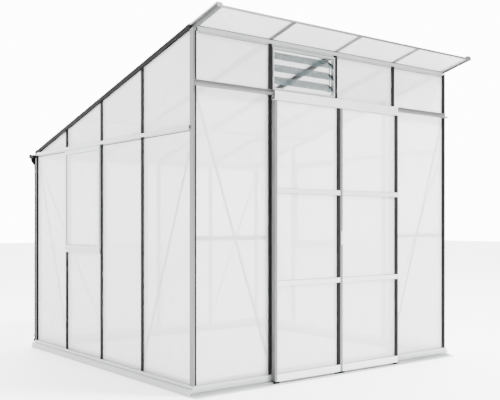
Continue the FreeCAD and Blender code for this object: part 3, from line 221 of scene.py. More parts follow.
class Finish(Net):
    """One material."""

    def __init__(self, name, colour, roughness, metallic=0.0):
        self.material = bpy.data.materials.new(name)
        self.material.use_nodes = True
        self.tree = self.material.node_tree
        self.shader = self.tree.nodes["Principled BSDF"]
        self.output = self.tree.nodes["Material Output"]
        self.set("Base Color", (*colour, 1))
        self.set("Roughness", roughness)
        self.set("Metallic", metallic)

    @classmethod
    def around(cls, material):
        """The finish of a material that was made before, to change it further."""
        finish = cls.__new__(cls)
        finish.material = material
        finish.tree = material.node_tree
        finish.shader = finish.tree.nodes["Principled BSDF"]
        finish.output = finish.tree.nodes["Material Output"]
        return finish

    def linked(self, name):
        """What feeds a socket of the shader now."""
        return Signal(self, self.shader.inputs[name].links[0].from_socket)

    def set(self, name, value):
        self.join(value, self.shader.inputs[name])

    def place(self):
        """The point's own X, Y and Z, in metres, and the three together."""
        whole = self.add("ShaderNodeTexCoord", output="Object")
        apart = self.tree.nodes.new("ShaderNodeSeparateXYZ")
        self.tree.links.new(whole.socket, apart.inputs[0])
        return [Signal(self, socket) for socket in apart.outputs] + [whole]

    def noise(self, where, scale, detail=2.0, rough=0.5):
        return self.add("ShaderNodeTexNoise", None,
                        {"Vector": where, "Scale": scale, "Detail": detail, "Roughness": rough})

    def mix(self, amount, first, second):
        return self.add("ShaderNodeMix", {"data_type": "RGBA"},
                        {0: amount, 6: first, 7: second}, output=2)

    def between(self, signal, low, high, new_low, new_high):
        return self.add("ShaderNodeMapRange", None,
                        {0: signal, 1: low, 2: high, 3: new_low, 4: new_high})

    def spread(self, noise, low, high):
        """A range of values, over the middle of a noise, where nearly all of it lies."""
        return self.between(noise, 0.3, 0.7, low, high)

    def bump(self, height, depth, strength=1.0):
        """Raise the surface by a height, whose full scale is a depth in metres."""
        normal = self.add("ShaderNodeBump", None,
                          {"Strength": strength, "Distance": depth, "Height": height})
        self.set("Normal", normal)


# %% [markdown]
# ## Finish: drawn aluminium
#
# The bars are pressed through a die and then anodised. The die leaves faint straight lines
# along the bar, and anodising makes the metal pale and satin. The lines are a noise that
# changes quickly across the bar and very slowly along it, so each run direction has its own
# version: uprights, level rails and the sloping roof bars. Each group of bars also has a grey
# of its own, which is painted light and shade, because the plain room that they mirror shades
# them too little: the posts, headers, roof's front edge and sloping bars are darkened as
# painted shade, and the door rails are lightened as painted light.

# %% Drawn aluminium
# These greys are painted light and shade: the post, header, roof edge and slope greys are
# darkened as painted shade, and the door grey is lightened as painted light.
SATIN_SILVER = (0.48, 0.49, 0.495)
DOOR_LIT_SILVER = (0.72, 0.725, 0.73)
POST_SHADED_SILVER = (0.162, 0.165, 0.165)
HEADER_SHADED_SILVER = (0.185, 0.188, 0.188)
EDGE_SHADED_SILVER = (0.055, 0.057, 0.058)
SLOPE_SHADED_SILVER = (0.17, 0.172, 0.175)
LINE_SCALE = 900.0
LINE_STRETCH = 0.01
LINE_SHARE = 0.6
DARKER = 0.93
ROOF_RISE = 0.2546
VERGE_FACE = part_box("verge_rails")[1][0]
VERGE_SKIN = 0.001


def drawn_metal(name, run, colour=SATIN_SILVER, roughness=0.42, metallic=0.9):
    finish = Finish(name, colour, roughness, metallic)
    x, y, z, whole = finish.place()
    across = {"up": (x, y, z * LINE_STRETCH), "level": (x * LINE_STRETCH, y * LINE_STRETCH, z),
              "slope": (x, y * LINE_STRETCH, z + y * ROOF_RISE)}[run]
    lines = finish.noise(finish.point(*across), LINE_SCALE, 3.0, 0.7)
    clouds = finish.noise(whole, 3.0, 3.0, 0.6)
    tone = finish.spread(lines * LINE_SHARE + clouds * (1 - LINE_SHARE), 0.0, 1.0)
    darker = tuple(channel * DARKER for channel in colour)
    finish.set("Base Color", finish.mix(tone, (*darker, 1), (*colour, 1)))
    finish.set("Roughness", finish.spread(lines, roughness - 0.06, roughness + 0.08))
    finish.bump(lines, 0.00002)
    return finish.material


# Painted shade darkens the upright, header, slope and roof-edge metals; painted light brightens
# the door metal.
upright_metal = drawn_metal("aluminium_upright", "up", POST_SHADED_SILVER)
level_metal = drawn_metal("aluminium_level", "level")
header_metal = drawn_metal("aluminium_header", "level", HEADER_SHADED_SILVER)
door_metal = drawn_metal("aluminium_door", "level", DOOR_LIT_SILVER)
slope_metal = drawn_metal("aluminium_slope", "slope", SLOPE_SHADED_SILVER, 0.45)
edge_metal = drawn_metal("aluminium_roof_edge", "level", EDGE_SHADED_SILVER, 0.5)


def verge_metal():
    """Slope metal darkened as painted shade, whose outer faces, at the far left and right, keep
    the plain satin silver.
    """
    material = drawn_metal("aluminium_verge", "slope", SLOPE_SHADED_SILVER, 0.45)
    finish = Finish.around(material)
    x = finish.place()[0]
    outside = x.size() > VERGE_FACE - VERGE_SKIN
    inner = finish.linked("Base Color")
    # The inner faces keep the slope grey's painted shade; only the outer faces get the plain
    # satin silver.
    finish.set("Base Color", finish.mix(outside, inner, (*SATIN_SILVER, 1)))
    return material


verge_silver = verge_metal()
print("metals:", upright_metal.name, level_metal.name, header_metal.name, door_metal.name)

# %% [markdown]
# ## Finish: twin-wall sheet
#
# The sheets are two thin skins held apart by ribs every six millimetres. They let most of
# the light through but scatter it, so what stands behind them shows only as a soft shadow.
# Every rib could be a thin wall, but each side of the house has hundreds, so the finish draws
# them. Each face of the solid lets part of the view through, and a rib does so less. The skins
# pull in slightly between the ribs, which a bump of a tenth of a millimetre shows up close.

# %% Twin-wall sheet
RIB_SPACING = 0.006
RIB_SHARE = 0.14
RIB_ALPHA = 0.3
GRAZING_ALPHA = 0.14
SHEET_COLOUR = (0.80, 0.805, 0.80)


def twin_wall(name, run, colour=SHEET_COLOUR, alpha=0.42, glow=0.22):
    finish = Finish(name, colour, 0.28)
    x, y, z, whole = finish.place()
    across = (x if run == "x" else y) / RIB_SPACING
    off_rib = (across.part() - 0.5).size()
    rib = off_rib < RIB_SHARE / 2
    cloud = finish.noise(whole, 1.7, 3.0, 0.55)
    warm = (colour[0] * 0.98, colour[1] * 0.98, colour[2] * 0.975, 1)
    finish.set("Base Color", finish.mix(cloud, warm, (*colour, 1)))
    facing = finish.add("ShaderNodeLayerWeight", None, {"Blend": 0.35}, output="Facing")
    finish.set("Alpha", alpha + rib * RIB_ALPHA + facing * GRAZING_ALPHA)
    finish.set("Roughness", finish.spread(cloud, 0.24, 0.34))
    finish.bump(off_rib, 0.0001, 0.6)
    through = finish.add("ShaderNodeBsdfTranslucent", None, {"Color": (0.96, 0.965, 0.955, 1)})
    body = finish.add("ShaderNodeMixShader", None,
                      {0: glow, 1: Signal(finish, finish.shader.outputs[0]), 2: through})
    finish.tree.links.new(body.socket, finish.output.inputs["Surface"])
    return finish.material


front_sheet = twin_wall("twin_wall_across_x", "x", SHEET_COLOUR, 0.38)
side_sheet = twin_wall("twin_wall_across_y", "y")
# The roof's sheets are the same twin-wall as the walls, but their much darker grey is painted
# shade for their undersides seen from below.
roof_sheet = twin_wall("twin_wall_roof", "x", (0.42, 0.425, 0.42), 0.62, 0.12)
print("sheets:", front_sheet.name, side_sheet.name, roof_sheet.name)

# %% [markdown]
# ## Finish: black plastics
#
# The strips that snap over the bars, the gutter and the small fittings are black plastic with
# a fine grain from the mould. A very dark colour with almost no gloss gives it, since a black
# surface shows mostly what it mirrors. A fine noise breaks up its roughness, and a broad one
# greys it a little where it has weathered.

# %% Black strip and black plastic


def black_plastic(name, tone, roughness, grain, gloss):
    finish = Finish(name, (tone, tone, tone), roughness)
    whole = finish.place()[3]
    speckle = finish.noise(whole, grain, 4.0, 0.6)
    haze = finish.noise(whole, 4.0, 3.0, 0.6)
    dark = (tone * 0.85, tone * 0.85, tone * 0.85, 1)
    pale = (tone * 1.35, tone * 1.35, tone * 1.33, 1)
    finish.set("Base Color", finish.mix(haze, dark, pale))
    finish.set("Roughness", finish.spread(speckle, roughness - 0.08, roughness + 0.1))
    finish.set("Specular IOR Level", gloss)
    finish.bump(speckle, 0.00005)
    return finish.material


strip_black = black_plastic("strip_black", 0.0086, 0.6, 700.0, 0.04)
gutter_black = black_plastic("gutter_black", 0.006, 0.8, 250.0, 0.008)
nylon_black = black_plastic("nylon_black", 0.012, 0.5, 900.0, 0.12)
print("plastics:", strip_black.name, gutter_black.name, nylon_black.name)

# %% [markdown]
# ## Finish: galvanised steel
#
# The base rails are dipped in molten zinc, which sets in flat crystals of a centimetre or so.
# A Voronoi pattern has such cells. The value of each cell turns the grey and the roughness a
# little, so the cells catch the light differently, as the crystals do.

# %% Galvanised steel


def galvanised():
    finish = Finish("galvanised_base", (0.5, 0.505, 0.51), 0.45, 0.75)
    whole = finish.place()[3]
    spangle = finish.add("ShaderNodeTexVoronoi", {"feature": "F1"},
                         {"Vector": whole, "Scale": 70.0}, output="Color")
    tone = finish.add("ShaderNodeRGBToBW", None, {0: spangle})
    finish.set("Base Color", finish.mix(tone, (0.35, 0.355, 0.36, 1), (0.46, 0.465, 0.47, 1)))
    finish.set("Roughness", finish.between(tone, 0.0, 1.0, 0.36, 0.55))
    finish.bump(tone, 0.00003)
    return finish.material


base_steel = galvanised()
print("steel:", base_steel.name)

# %% [markdown]
# ## Finish: zinc plated bolts
#
# Bolts and screws are plated in a drum, which leaves them bright but a little uneven. They are
# small, so one fine noise for both the colour and the roughness is enough.

# %% Zinc plated bolts


def zinc():
    finish = Finish("zinc_bolts", (0.66, 0.67, 0.66), 0.35, 0.95)
    whole = finish.place()[3]
    grain = finish.noise(whole, 400.0, 4.0, 0.6)
    finish.set("Base Color", finish.mix(grain, (0.56, 0.57, 0.56, 1), (0.75, 0.76, 0.75, 1)))
    finish.set("Roughness", finish.spread(grain, 0.26, 0.46))
    finish.bump(grain, 0.00002)
    return finish.material


bolt_metal = zinc()
print("bolts:", bolt_metal.name)

# %% [markdown]
# ## Finish: louvre glass
#
# The louvre's blades are clear float glass. Through a clear pane the view stays sharp, and it
# only loses some light. So the finish is see-through rather than refracting, which would need
# many more light paths, and a Fresnel term makes it less so where it is seen at a low angle.

# %% Louvre glass
GLASS_ALPHA = 0.29
EDGE_ALPHA = 0.5


def glass():
    finish = Finish("louvre_glass", (0.78, 0.86, 0.87), 0.04)
    whole = finish.place()[3]
    wave = finish.noise(whole, 5.0, 2.0, 0.5)
    edge = finish.add("ShaderNodeFresnel", None, {"IOR": 1.5})
    finish.set("Alpha", GLASS_ALPHA + edge * EDGE_ALPHA)
    finish.set("Roughness", finish.spread(wave, 0.02, 0.06))
    finish.set("Base Color", finish.mix(wave, (0.10, 0.14, 0.15, 1), (0.14, 0.19, 0.20, 1)))
    return finish.material


clear_glass = glass()
print("glass:", clear_glass.name)

# %% [markdown]
# ## Dress the solids
#
# Each solid keeps its own mesh and gets the finish that its record names. For aluminium the
# name of the piece decides which drawn metal it gets: the one whose lines run along it, in the
# grey of its group. The real bars are probably one alloy and differ only by how the light falls
# on them and what they mirror, but one grey for all of them didn't match here, so the greys of
# the groups are painted light and shade.

# %% Dress the solids
SLOPING = ("roof_rafters", "roof_purlin")
HEADERS = ("front_cross_rails", "door_track", "track_stops")
LEVEL = ("base_rails", "door_threshold", "wall_sills", "side_cross_rails", "head_rail",
         "eave_rail", "left_window_stay", "right_window_stay", "left_window_sash",
         "right_window_sash", "louvre_frame")
DOORS = ("left_door_rails", "right_door_rails")
SIDE_SHEETS = ("left_wall_panels", "right_wall_panels", "left_window_pane",
               "right_window_pane")


def finish_for(name, slot):
    if name.startswith("louvre_holders"):
        return nylon_black
    if slot == "aluminium":
        if name == "verge_rails":
            return verge_silver
        if name == "roof_front_edge":
            return edge_metal
        if name in SLOPING:
            return slope_metal
        if name in HEADERS:
            return header_metal
        if name in DOORS:
            return door_metal
        return level_metal if name in LEVEL else upright_metal
    if slot == "polycarbonate":
        if name == "roof_panels":
            return roof_sheet
        return side_sheet if name in SIDE_SHEETS else front_sheet
    return {"galvanised_steel": base_steel, "bolt_steel": bolt_metal, "glass": clear_glass,
            "black_trim": strip_black, "black_plastic": gutter_black,
            "nylon": nylon_black}[slot]


slots = {item["node"]: item["material_slot"] for item in frame["record"]["subparts"]}
for name, piece in nodes.items():
    material = finish_for(name, slots[name])
    for place in piece.material_slots:
        place.material = material
print("dressed", len(nodes), "solids")

# %% [markdown]
# ## Recipes for small hardware
#
# Bolts, screws, straps and bristles repeat, so each kind is one Geometry Nodes tree: a recipe
# with named sizes that is laid on points or along a line. A recipe ends by making its copies
# real and giving them their finish, and the result is kept as a plain mesh, because a modifier
# would be lost when the model is passed on.

# %% Recipe


class Recipe(Net):
    """A Geometry Nodes tree with named sizes."""

    def __init__(self, name, **sizes):
        self.tree = bpy.data.node_groups.new(name, "GeometryNodeTree")
        sockets = self.tree.interface
        sockets.new_socket("Geometry", in_out="INPUT", socket_type="NodeSocketGeometry")
        for label, value in sizes.items():
            kind = "NodeSocketInt" if isinstance(value, int) else "NodeSocketFloat"
            socket = sockets.new_socket(label, in_out="INPUT", socket_type=kind)
            socket.default_value = value
        sockets.new_socket("finish", in_out="INPUT", socket_type="NodeSocketMaterial")
        sockets.new_socket("Geometry", in_out="OUTPUT", socket_type="NodeSocketGeometry")
        self.start = self.tree.nodes.new("NodeGroupInput")
        self.end = self.tree.nodes.new("NodeGroupOutput")

    def given(self, label):
        return Signal(self, self.start.outputs[label])

    def block(self, x, y, z, shift=(0, 0, 0)):
        cube = self.add("GeometryNodeMeshCube", None, {"Size": self.point(x, y, z)})
        return self.moved(cube, self.point(*shift))

    def rod(self, sides, radius, length, lift):
        """A prism or cylinder along Z, whose middle is lifted."""
        mesh = self.add("GeometryNodeMeshCylinder", None,
                        {"Vertices": sides, "Radius": radius, "Depth": length})
        return self.moved(mesh, self.point(0, 0, lift))

    def moved(self, geometry, shift, turn=(0, 0, 0), scale=(1, 1, 1)):
        return self.add("GeometryNodeTransform", None,
                        {"Geometry": geometry, "Translation": shift, "Rotation": turn,
                         "Scale": scale})

    def together(self, *parts):
        return self.add("GeometryNodeJoinGeometry", None, {0: list(parts)})

    def row(self, count, step):
        """Points in a row from the origin, one step apart."""
        return self.add("GeometryNodeMeshLine", None, {"Count": count, "Offset": step})

    def on_points(self, points, part, turn=(0, 0, 0)):
        """A copy of the part on each point."""
        return self.add("GeometryNodeInstanceOnPoints", None,
                        {"Points": points, "Instance": part, "Rotation": turn})

    def facing(self):
        """The turn that points Z along the direction stored at each point."""
        stored = self.add("GeometryNodeInputNamedAttribute", {"data_type": "FLOAT_VECTOR"},
                          {"Name": "facing"})
        return self.add("FunctionNodeAlignRotationToVector", {"axis": "Z"},
                        {"Vector": stored})

    def close(self, geometry):
        """End the tree: make the copies real and give them their finish."""
        real = self.add("GeometryNodeRealizeInstances", None, {0: geometry})
        painted = self.add("GeometryNodeSetMaterial", None,
                           {"Geometry": real, "Material": self.given("finish")})
        self.tree.links.new(painted.socket, self.end.inputs[0])
        return self

    def make(self, name, mesh, finish, body, slot, **sizes):
        """Run the recipe on a mesh and keep the result as a plain piece of the greenhouse."""
        start = bpy.data.objects.new(f"{name}_start", mesh)
        bpy.context.scene.collection.objects.link(start)
        modifier = start.modifiers.new("recipe", "NODES")
        modifier.node_group = self.tree
        values = dict(sizes, finish=finish)
        # A modifier knows its inputs by their identifiers, not by their names.
        for item in self.tree.interface.items_tree:
            if item.in_out == "INPUT" and item.name in values:
                modifier[item.identifier] = values[item.name]
        graph = bpy.context.evaluated_depsgraph_get()
        made = bpy.data.meshes.new_from_object(start.evaluated_get(graph))
        bpy.data.objects.remove(start)
        piece = bpy.data.objects.new(name, made)
        bpy.context.scene.collection.objects.link(piece)
        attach(piece, body)
        print(name, "faces:", len(made.polygons))
        return piece


def spots_mesh(spots):
    """Loose points, each with the direction that its hardware faces."""
    mesh = bpy.data.meshes.new("spots")
    mesh.from_pydata([spot for spot, facing in spots], [], [])
    stored = mesh.attributes.new("facing", "FLOAT_VECTOR", "POINT")
    stored.data.foreach_set("vector", [value for spot, facing in spots for value in facing])
    return mesh


# %% [markdown]
# ## Where the walls are
#
# The small parts sit on the solids. Their places could be typed in as numbers, but those would
# be wrong as soon as the frame changed. So they are worked out from the boxes of the solids:
# the corner posts give the wall planes, the doors give the bay width in front, and the side
# bars give the bays of the side walls.

# %% Walls and bars
LEFT_X, FRONT_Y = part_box("front_posts")[0][:2]
RIGHT_X, REAR_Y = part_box("rear_posts")[1][:2]
BAY = -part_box("left_door_rails")[0][0]
BAR_X = (-BAY, 0.0, BAY)
HALF_SEAT = 0.017
side_low, side_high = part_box("left_wall_bars")
BAR_Y = [side_low[1] + HALF_SEAT,
         (side_low[1] + side_high[1]) / 2,
         side_high[1] - HALF_SEAT]
TO_FRONT, TO_REAR = (0, -1, 0), (0, 1, 0)
TO_LEFT, TO_RIGHT = (-1, 0, 0), (1, 0, 0)
print("bays:", round(BAY, 3), "m in front,", round(BAR_Y[1] - BAR_Y[0], 3), "m at the sides")

# %% [markdown]
# ## Nuts and bolt ends
#
# Such a frame is usually joined by M6 bolts, whose nuts and washers show inside the house. The
# nut is a six-sided prism, the washer and the bolt's end are flat cylinders. They sit at the
# feet of the bars, on the flanges of the head and eave rails, and at both ends of each brace.
# Each could be placed by hand, but there are dozens, so one recipe lays a nut on every point
# and turns it along the direction that is stored there.

# %% Nuts
SILL_BACK = 0.052
SILL_BOLT_Z = 0.066
FLANGE_BOLT = 0.012
BRACE_BACK = 0.022
BRACE_SIDE = 0.024
BRACE_LOW = 0.11
BRACE_WIDE = 0.02
BRACE_ENDS = (0.03, 0.97)
BRACE_DROP = 0.024


def nut_recipe():
    recipe = Recipe("bolt_end", nut_across=0.0115, nut_high=0.005, washer_across=0.016,
                    washer_thick=0.0014, bolt_across=0.006, bolt_out=0.0095)
    size = recipe.given
    washer = recipe.rod(20, size("washer_across") / 2, size("washer_thick"),
                        size("washer_thick") / 2)
    nut = recipe.rod(6, size("nut_across") / 2, size("nut_high"),
                     size("washer_thick") + size("nut_high") / 2)
    end = recipe.rod(12, size("bolt_across") / 2, size("bolt_out"), size("bolt_out") / 2)
    part = recipe.together(washer, nut, end)
    points = recipe.given("Geometry")
    return recipe.close(recipe.on_points(points, part, recipe.facing()))


def brace_spots(start, end, top, place):
    """The two bolt spots of a brace that falls from start to end along its wall."""
    band = BRACE_WIDE * (top - BRACE_LOW) / abs(end - start)
    high, low = top - band / 2, BRACE_LOW + band / 2
    return [place(start + (end - start) * share, high + (low - high) * share)
            for share in BRACE_ENDS]


nut_spots = []
head_low, head_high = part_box("head_rail")
eave_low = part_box("eave_rail")[0]
for x in BAR_X:
    nut_spots.append(((x, REAR_Y - SILL_BACK, SILL_BOLT_Z), TO_FRONT))
    nut_spots.append(((x, head_high[1], head_low[2] + FLANGE_BOLT), TO_REAR))
    nut_spots.append(((x, eave_low[1], eave_low[2] + FLANGE_BOLT), TO_FRONT))
    if x:    # the middle bar in front ends over the doors
        nut_spots.append(((x, FRONT_Y + SILL_BACK, SILL_BOLT_Z), TO_REAR))
for y in BAR_Y:
    nut_spots.append(((LEFT_X + SILL_BACK, y, SILL_BOLT_Z), TO_RIGHT))
    nut_spots.append(((RIGHT_X - SILL_BACK, y, SILL_BOLT_Z), TO_LEFT))
rail_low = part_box("side_cross_rails")[1][2] - BRACE_DROP
for x, inwards in ((LEFT_X, 1), (RIGHT_X, -1)):
    for start, end in ((FRONT_Y + BRACE_SIDE, BAR_Y[0]), (REAR_Y - BRACE_SIDE, BAR_Y[2])):
        nut_spots += brace_spots(start, end, rail_low, lambda along, high: (
            (x + inwards * BRACE_BACK, along, high), (inwards, 0, 0)))
    for y, inside, top in ((FRONT_Y, 1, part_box("door_track")[0][2]),
                           (REAR_Y, -1, eave_low[2])):
        nut_spots += brace_spots(x + inwards * BRACE_SIDE, -inwards * BAY, top,
                                 lambda along, high: ((along, y + inside * BRACE_BACK, high),
                                                      (0, inside, 0)))
nut_recipe().make("frame_nuts", spots_mesh(nut_spots), bolt_metal, "frame", "bolt_steel")
print("nuts:", len(nut_spots))

# %% [markdown]
# ## Screws of the doors
#
# The door plates and rails are taken to be held by screws with a cross recess. A cone with its
# tip cut off is the head, and two grooves are cut across its flat top. A ball would be rounder,
# but cutting its curved faces left gaps in the mesh, and the flat top cuts cleanly. One groove
# is a little deeper than the other, so that their floors don't lie in one plane.

# %% Door screws
SCREW_INSET = 0.024
SCREW_SHARES = (0.0, 0.5, 1.0)
GROOVE_DEPTHS = (0.0012, 0.0014)


def screw_recipe():
    recipe = Recipe("pan_screw", head_across=0.009, top_across=0.0064, head_high=0.003,
                    slot_long=0.005, slot_wide=0.0011)
    size = recipe.given
    high, long, wide = size("head_high"), size("slot_long"), size("slot_wide")
    head = recipe.add("GeometryNodeMeshCone", None,
                      {"Vertices": 20, "Radius Top": size("top_across") / 2,
                       "Radius Bottom": size("head_across") / 2, "Depth": high})
    for (across, along), depth in zip(((long, wide), (wide, long)), GROOVE_DEPTHS):
        groove = recipe.block(across, along, depth * 2, (0, 0, high))
        head = recipe.add("GeometryNodeMeshBoolean", {"operation": "DIFFERENCE"},
                          {"Mesh 1": head, "Mesh 2": [groove]})
    points = recipe.given("Geometry")
    return recipe.close(recipe.on_points(points, head, recipe.facing()))


pan_screw = screw_recipe()
COVER_HIGH = 0.066
FOOT_HIGH = 0.05
RAIL_HIGH = 0.034


def door_screws(side):
    low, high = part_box(f"{side}_door_rails")
    pane_high = (high[2] - low[2] - COVER_HIGH - FOOT_HIGH - 2 * RAIL_HIGH) / 3
    rail_1 = low[2] + FOOT_HIGH + pane_high + RAIL_HIGH / 2
    rail_2 = rail_1 + pane_high + RAIL_HIGH
    left, right = low[0] + SCREW_INSET, high[0] - SCREW_INSET
    spots = [((left + (right - left) * share, low[1], high[2] - COVER_HIGH / 2), TO_FRONT)
             for share in SCREW_SHARES]
    for z in (rail_1, rail_2, low[2] + FOOT_HIGH / 2):
        spots += [((left + SCREW_INSET / 2, low[1], z), TO_FRONT),
                  ((right - SCREW_INSET / 2, low[1], z), TO_FRONT)]
    return spots


for side in ("left", "right"):
    pan_screw.make(f"{side}_door_screws", spots_mesh(door_screws(side)), bolt_metal,
                   f"{side}_door", "bolt_steel")

# %% [markdown]
# ## Brush seals behind the doors
#
# A strip of bristles on the back of each outer stile closes the slit between the sliding door
# and the wall. Strands of hair would look finer, but they would be lost when the model is
# passed on. So each bristle is a thin four-sided cone. A random tilt with a fixed seed keeps
# the row from looking like a comb, and gives the same row each time.

# %% Brush seals
BRUSH_REACH = 0.0065
BRUSH_STEP = 0.005
BRUSH_ENDS = 0.09
BRUSH_INSET = 0.012


def brush_recipe():
    recipe = Recipe("brush_seal", count=300, step=BRUSH_STEP, reach=BRUSH_REACH,
                    thick=0.0009, tilt=0.16, sideways=0.6, seed=4, back_wide=0.006,
                    back_thick=0.0014, back_shift=-0.0028)
    size = recipe.given
    bristle = recipe.add("GeometryNodeMeshCone", None,
                         {"Vertices": 4, "Radius Top": size("thick") / 5,
                          "Radius Bottom": size("thick"), "Depth": size("reach")})
    upright = recipe.moved(bristle, (0, 0, 0), (-math.pi / 2, 0, 0))
    lean = recipe.add("FunctionNodeRandomValue", {"data_type": "FLOAT"},
                      {2: 0 - size("tilt"), 3: size("tilt"), 8: size("seed")}, output=1)
    turn = recipe.point(lean, 0, lean * size("sideways"))
    row = recipe.row(size("count"), recipe.point(0, 0, size("step")))
    bristles = recipe.on_points(row, upright, turn)
    tall = size("count") * size("step")
    backing = recipe.block(size("back_wide"), size("back_thick"), tall,
                           (0, size("back_shift"), tall / 2))
    strip = recipe.together(bristles, backing)
    points = recipe.given("Geometry")
    return recipe.close(recipe.on_points(points, strip))


brush = brush_recipe()
for side in ("left", "right"):
    low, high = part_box(f"{side}_door_stiles")
    x = low[0] + BRUSH_INSET if side == "left" else high[0] - BRUSH_INSET
    count = int((high[2] - low[2] - 2 * BRUSH_ENDS) / BRUSH_STEP)
    spot = (x, high[1] + BRUSH_REACH / 2, low[2] + BRUSH_ENDS)
    brush.make(f"{side}_door_brush", spots_mesh([(spot, TO_REAR)]), nylon_black,
               f"{side}_door", "nylon", count=count)

# %% [markdown]
# ## Window stays with a row of holes
#
# A stay is a flat bar with a row of holes, so that the window can be pinned at several
# openings. The holes could be a picture on the bar, but light has to pass through them. So the
# recipe drills a row of holes through a copy of the solid bar, and the copy takes its place.

# %% Window stays
STAY_HOLES = 11
STAY_STEP = 0.03
STAY_CLEAR = 0.05


def stay_recipe():
    recipe = Recipe("holed_bar", count=STAY_HOLES, step=STAY_STEP, hole_across=0.0055,
                    drill_long=0.02, first=0.0, middle_y=0.0, middle_z=0.0)
    size = recipe.given
    drill = recipe.add("GeometryNodeMeshCylinder", None,
                       {"Vertices": 16, "Radius": size("hole_across") / 2,
                        "Depth": size("drill_long")})
    level = recipe.moved(drill, (0, 0, 0), (math.pi / 2, 0, 0))
    row = recipe.row(size("count"), recipe.point(size("step"), 0, 0))
    start = recipe.point(size("first"), size("middle_y"), size("middle_z"))
    drills = recipe.add("GeometryNodeRealizeInstances", None,
                        {0: recipe.on_points(recipe.moved(row, start), level)})
    cut = recipe.add("GeometryNodeMeshBoolean", {"operation": "DIFFERENCE"},
                     {"Mesh 1": recipe.given("Geometry"), "Mesh 2": [drills]})
    return recipe.close(cut)


def merged_copy(name):
    """The node's triangles joined up into one closed mesh."""
    shape = bmesh.new()
    shape.from_mesh(nodes[name].data)
    bmesh.ops.remove_doubles(shape, verts=shape.verts, dist=1e-6)
    mesh = bpy.data.meshes.new(f"{name}_copy")
    shape.to_mesh(mesh)
    shape.free()
    return mesh


holed_bar = stay_recipe()
for side in ("left", "right"):
    name = f"{side}_window_stay"
    low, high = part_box(name)
    inner = low[0] if side == "right" else high[0] - (STAY_HOLES - 1) * STAY_STEP
    first = inner + STAY_CLEAR if side == "right" else inner - STAY_CLEAR
    piece = holed_bar.make(f"{side}_holed_stay", merged_copy(name), level_metal,
                           f"{side}_stay", "aluminium", first=first,
                           middle_y=(low[1] + high[1]) / 2, middle_z=(low[2] + high[2]) / 2)
    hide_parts(name)

# %% [markdown]
# ## Rainwater fittings
#
# Straps tie the gutter's lip to its back, a round bead stiffens the lip, and a collar marks
# each joint of the downpipe. A strap is three blocks. The bead and the collar could be solids
# too, but they follow a line, so a shape is swept along it: a circle along a straight line
# for the bead, and a small rectangle round a circle for the collar.

# %% Gutter straps, bead and pipe collars
gutter_low, gutter_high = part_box("gutter")
STRAP_COUNT = 6
STRAP_DROP = 0.0025
BEAD_RADIUS = 0.003
COLLAR_HALF = 0.011
BEND_INSET = 0.02


def strap_recipe():
    recipe = Recipe("gutter_strap", across=0.096, wide=0.018, thick=0.002, hook=0.011)
    size = recipe.given
    edge = size("across") / 2 - size("thick") / 2
    top = recipe.block(size("wide"), size("across"), size("thick"))
    hooks = [recipe.block(size("wide"), size("thick"), size("hook"),
                          (0, side * edge, 0 - size("hook") / 2)) for side in (-1, 1)]
    points = recipe.given("Geometry")
    return recipe.close(recipe.on_points(points, recipe.together(top, *hooks)))


def bead_recipe():
    recipe = Recipe("round_bead", length=1.0, radius=BEAD_RADIUS)
    size = recipe.given
    line = recipe.add("GeometryNodeCurvePrimitiveLine", None,
                      {"Start": recipe.point(0 - size("length") / 2, 0, 0),
                       "End": recipe.point(size("length") / 2, 0, 0)})
    ring = recipe.add("GeometryNodeCurvePrimitiveCircle", None,
                      {"Resolution": 12, "Radius": size("radius")})
    bead = recipe.add("GeometryNodeCurveToMesh", None,
                      {"Curve": line, "Profile Curve": ring, "Fill Caps": True})
    points = recipe.given("Geometry")
    return recipe.close(recipe.on_points(points, bead))


def collar_recipe():
    recipe = Recipe("pipe_collar", radius=0.0214, thick=0.0026, high=0.022)
    size = recipe.given
    ring = recipe.add("GeometryNodeCurvePrimitiveCircle", None,
                      {"Resolution": 40, "Radius": size("radius")})
    shape = recipe.add("GeometryNodeCurvePrimitiveQuadrilateral", None,
                       {"Width": size("thick"), "Height": size("high")})
    collar = recipe.add("GeometryNodeCurveToMesh", None,
                        {"Curve": ring, "Profile Curve": shape})
    points = recipe.given("Geometry")
    return recipe.close(recipe.on_points(points, collar, recipe.facing()))


gutter_middle = (gutter_low[1] + gutter_high[1]) / 2
strap_step = (gutter_high[0] - gutter_low[0]) / STRAP_COUNT
straps = [((gutter_low[0] + (index + 0.5) * strap_step, gutter_middle,
            gutter_high[2] - STRAP_DROP), TO_REAR) for index in range(STRAP_COUNT)]
strap_recipe().make("gutter_straps", spots_mesh(straps), gutter_black, "frame",
                    "black_plastic")
round_bead = bead_recipe()
lip = (0, gutter_high[1] - BEAD_RADIUS, gutter_high[2])
round_bead.make("gutter_bead", spots_mesh([(lip, TO_REAR)]), gutter_black, "frame",
                "black_plastic", length=gutter_high[0] - gutter_low[0])
pipe_low, pipe_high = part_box("downpipe")
pipe_x, pipe_y = (pipe_low[0] + pipe_high[0]) / 2, (pipe_low[1] + pipe_high[1]) / 2
bend_low, bend_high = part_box("downpipe_bends")
joints = [(pipe_x, pipe_y, pipe_high[2]), (pipe_x, pipe_y, pipe_low[2] + COLLAR_HALF),
          (bend_low[0] + BEND_INSET, bend_high[1] - BEND_INSET, bend_high[2] - COLLAR_HALF)]
collar_recipe().make("pipe_collars", spots_mesh([(spot, (0, 0, 1)) for spot in joints]),
                     gutter_black, "frame", "black_plastic")

# %% [markdown]
# ## Seal over the doors and closures at the eaves
#
# A thin rubber bead lies where the head rail meets the underside of the roof. It is the same
# recipe as the gutter's bead, with a smaller radius. At the low end of the roof an aluminium
# closure grips each sheet, so that no insects get into its channels. It is a channel of three
# blocks that lies along the slope.

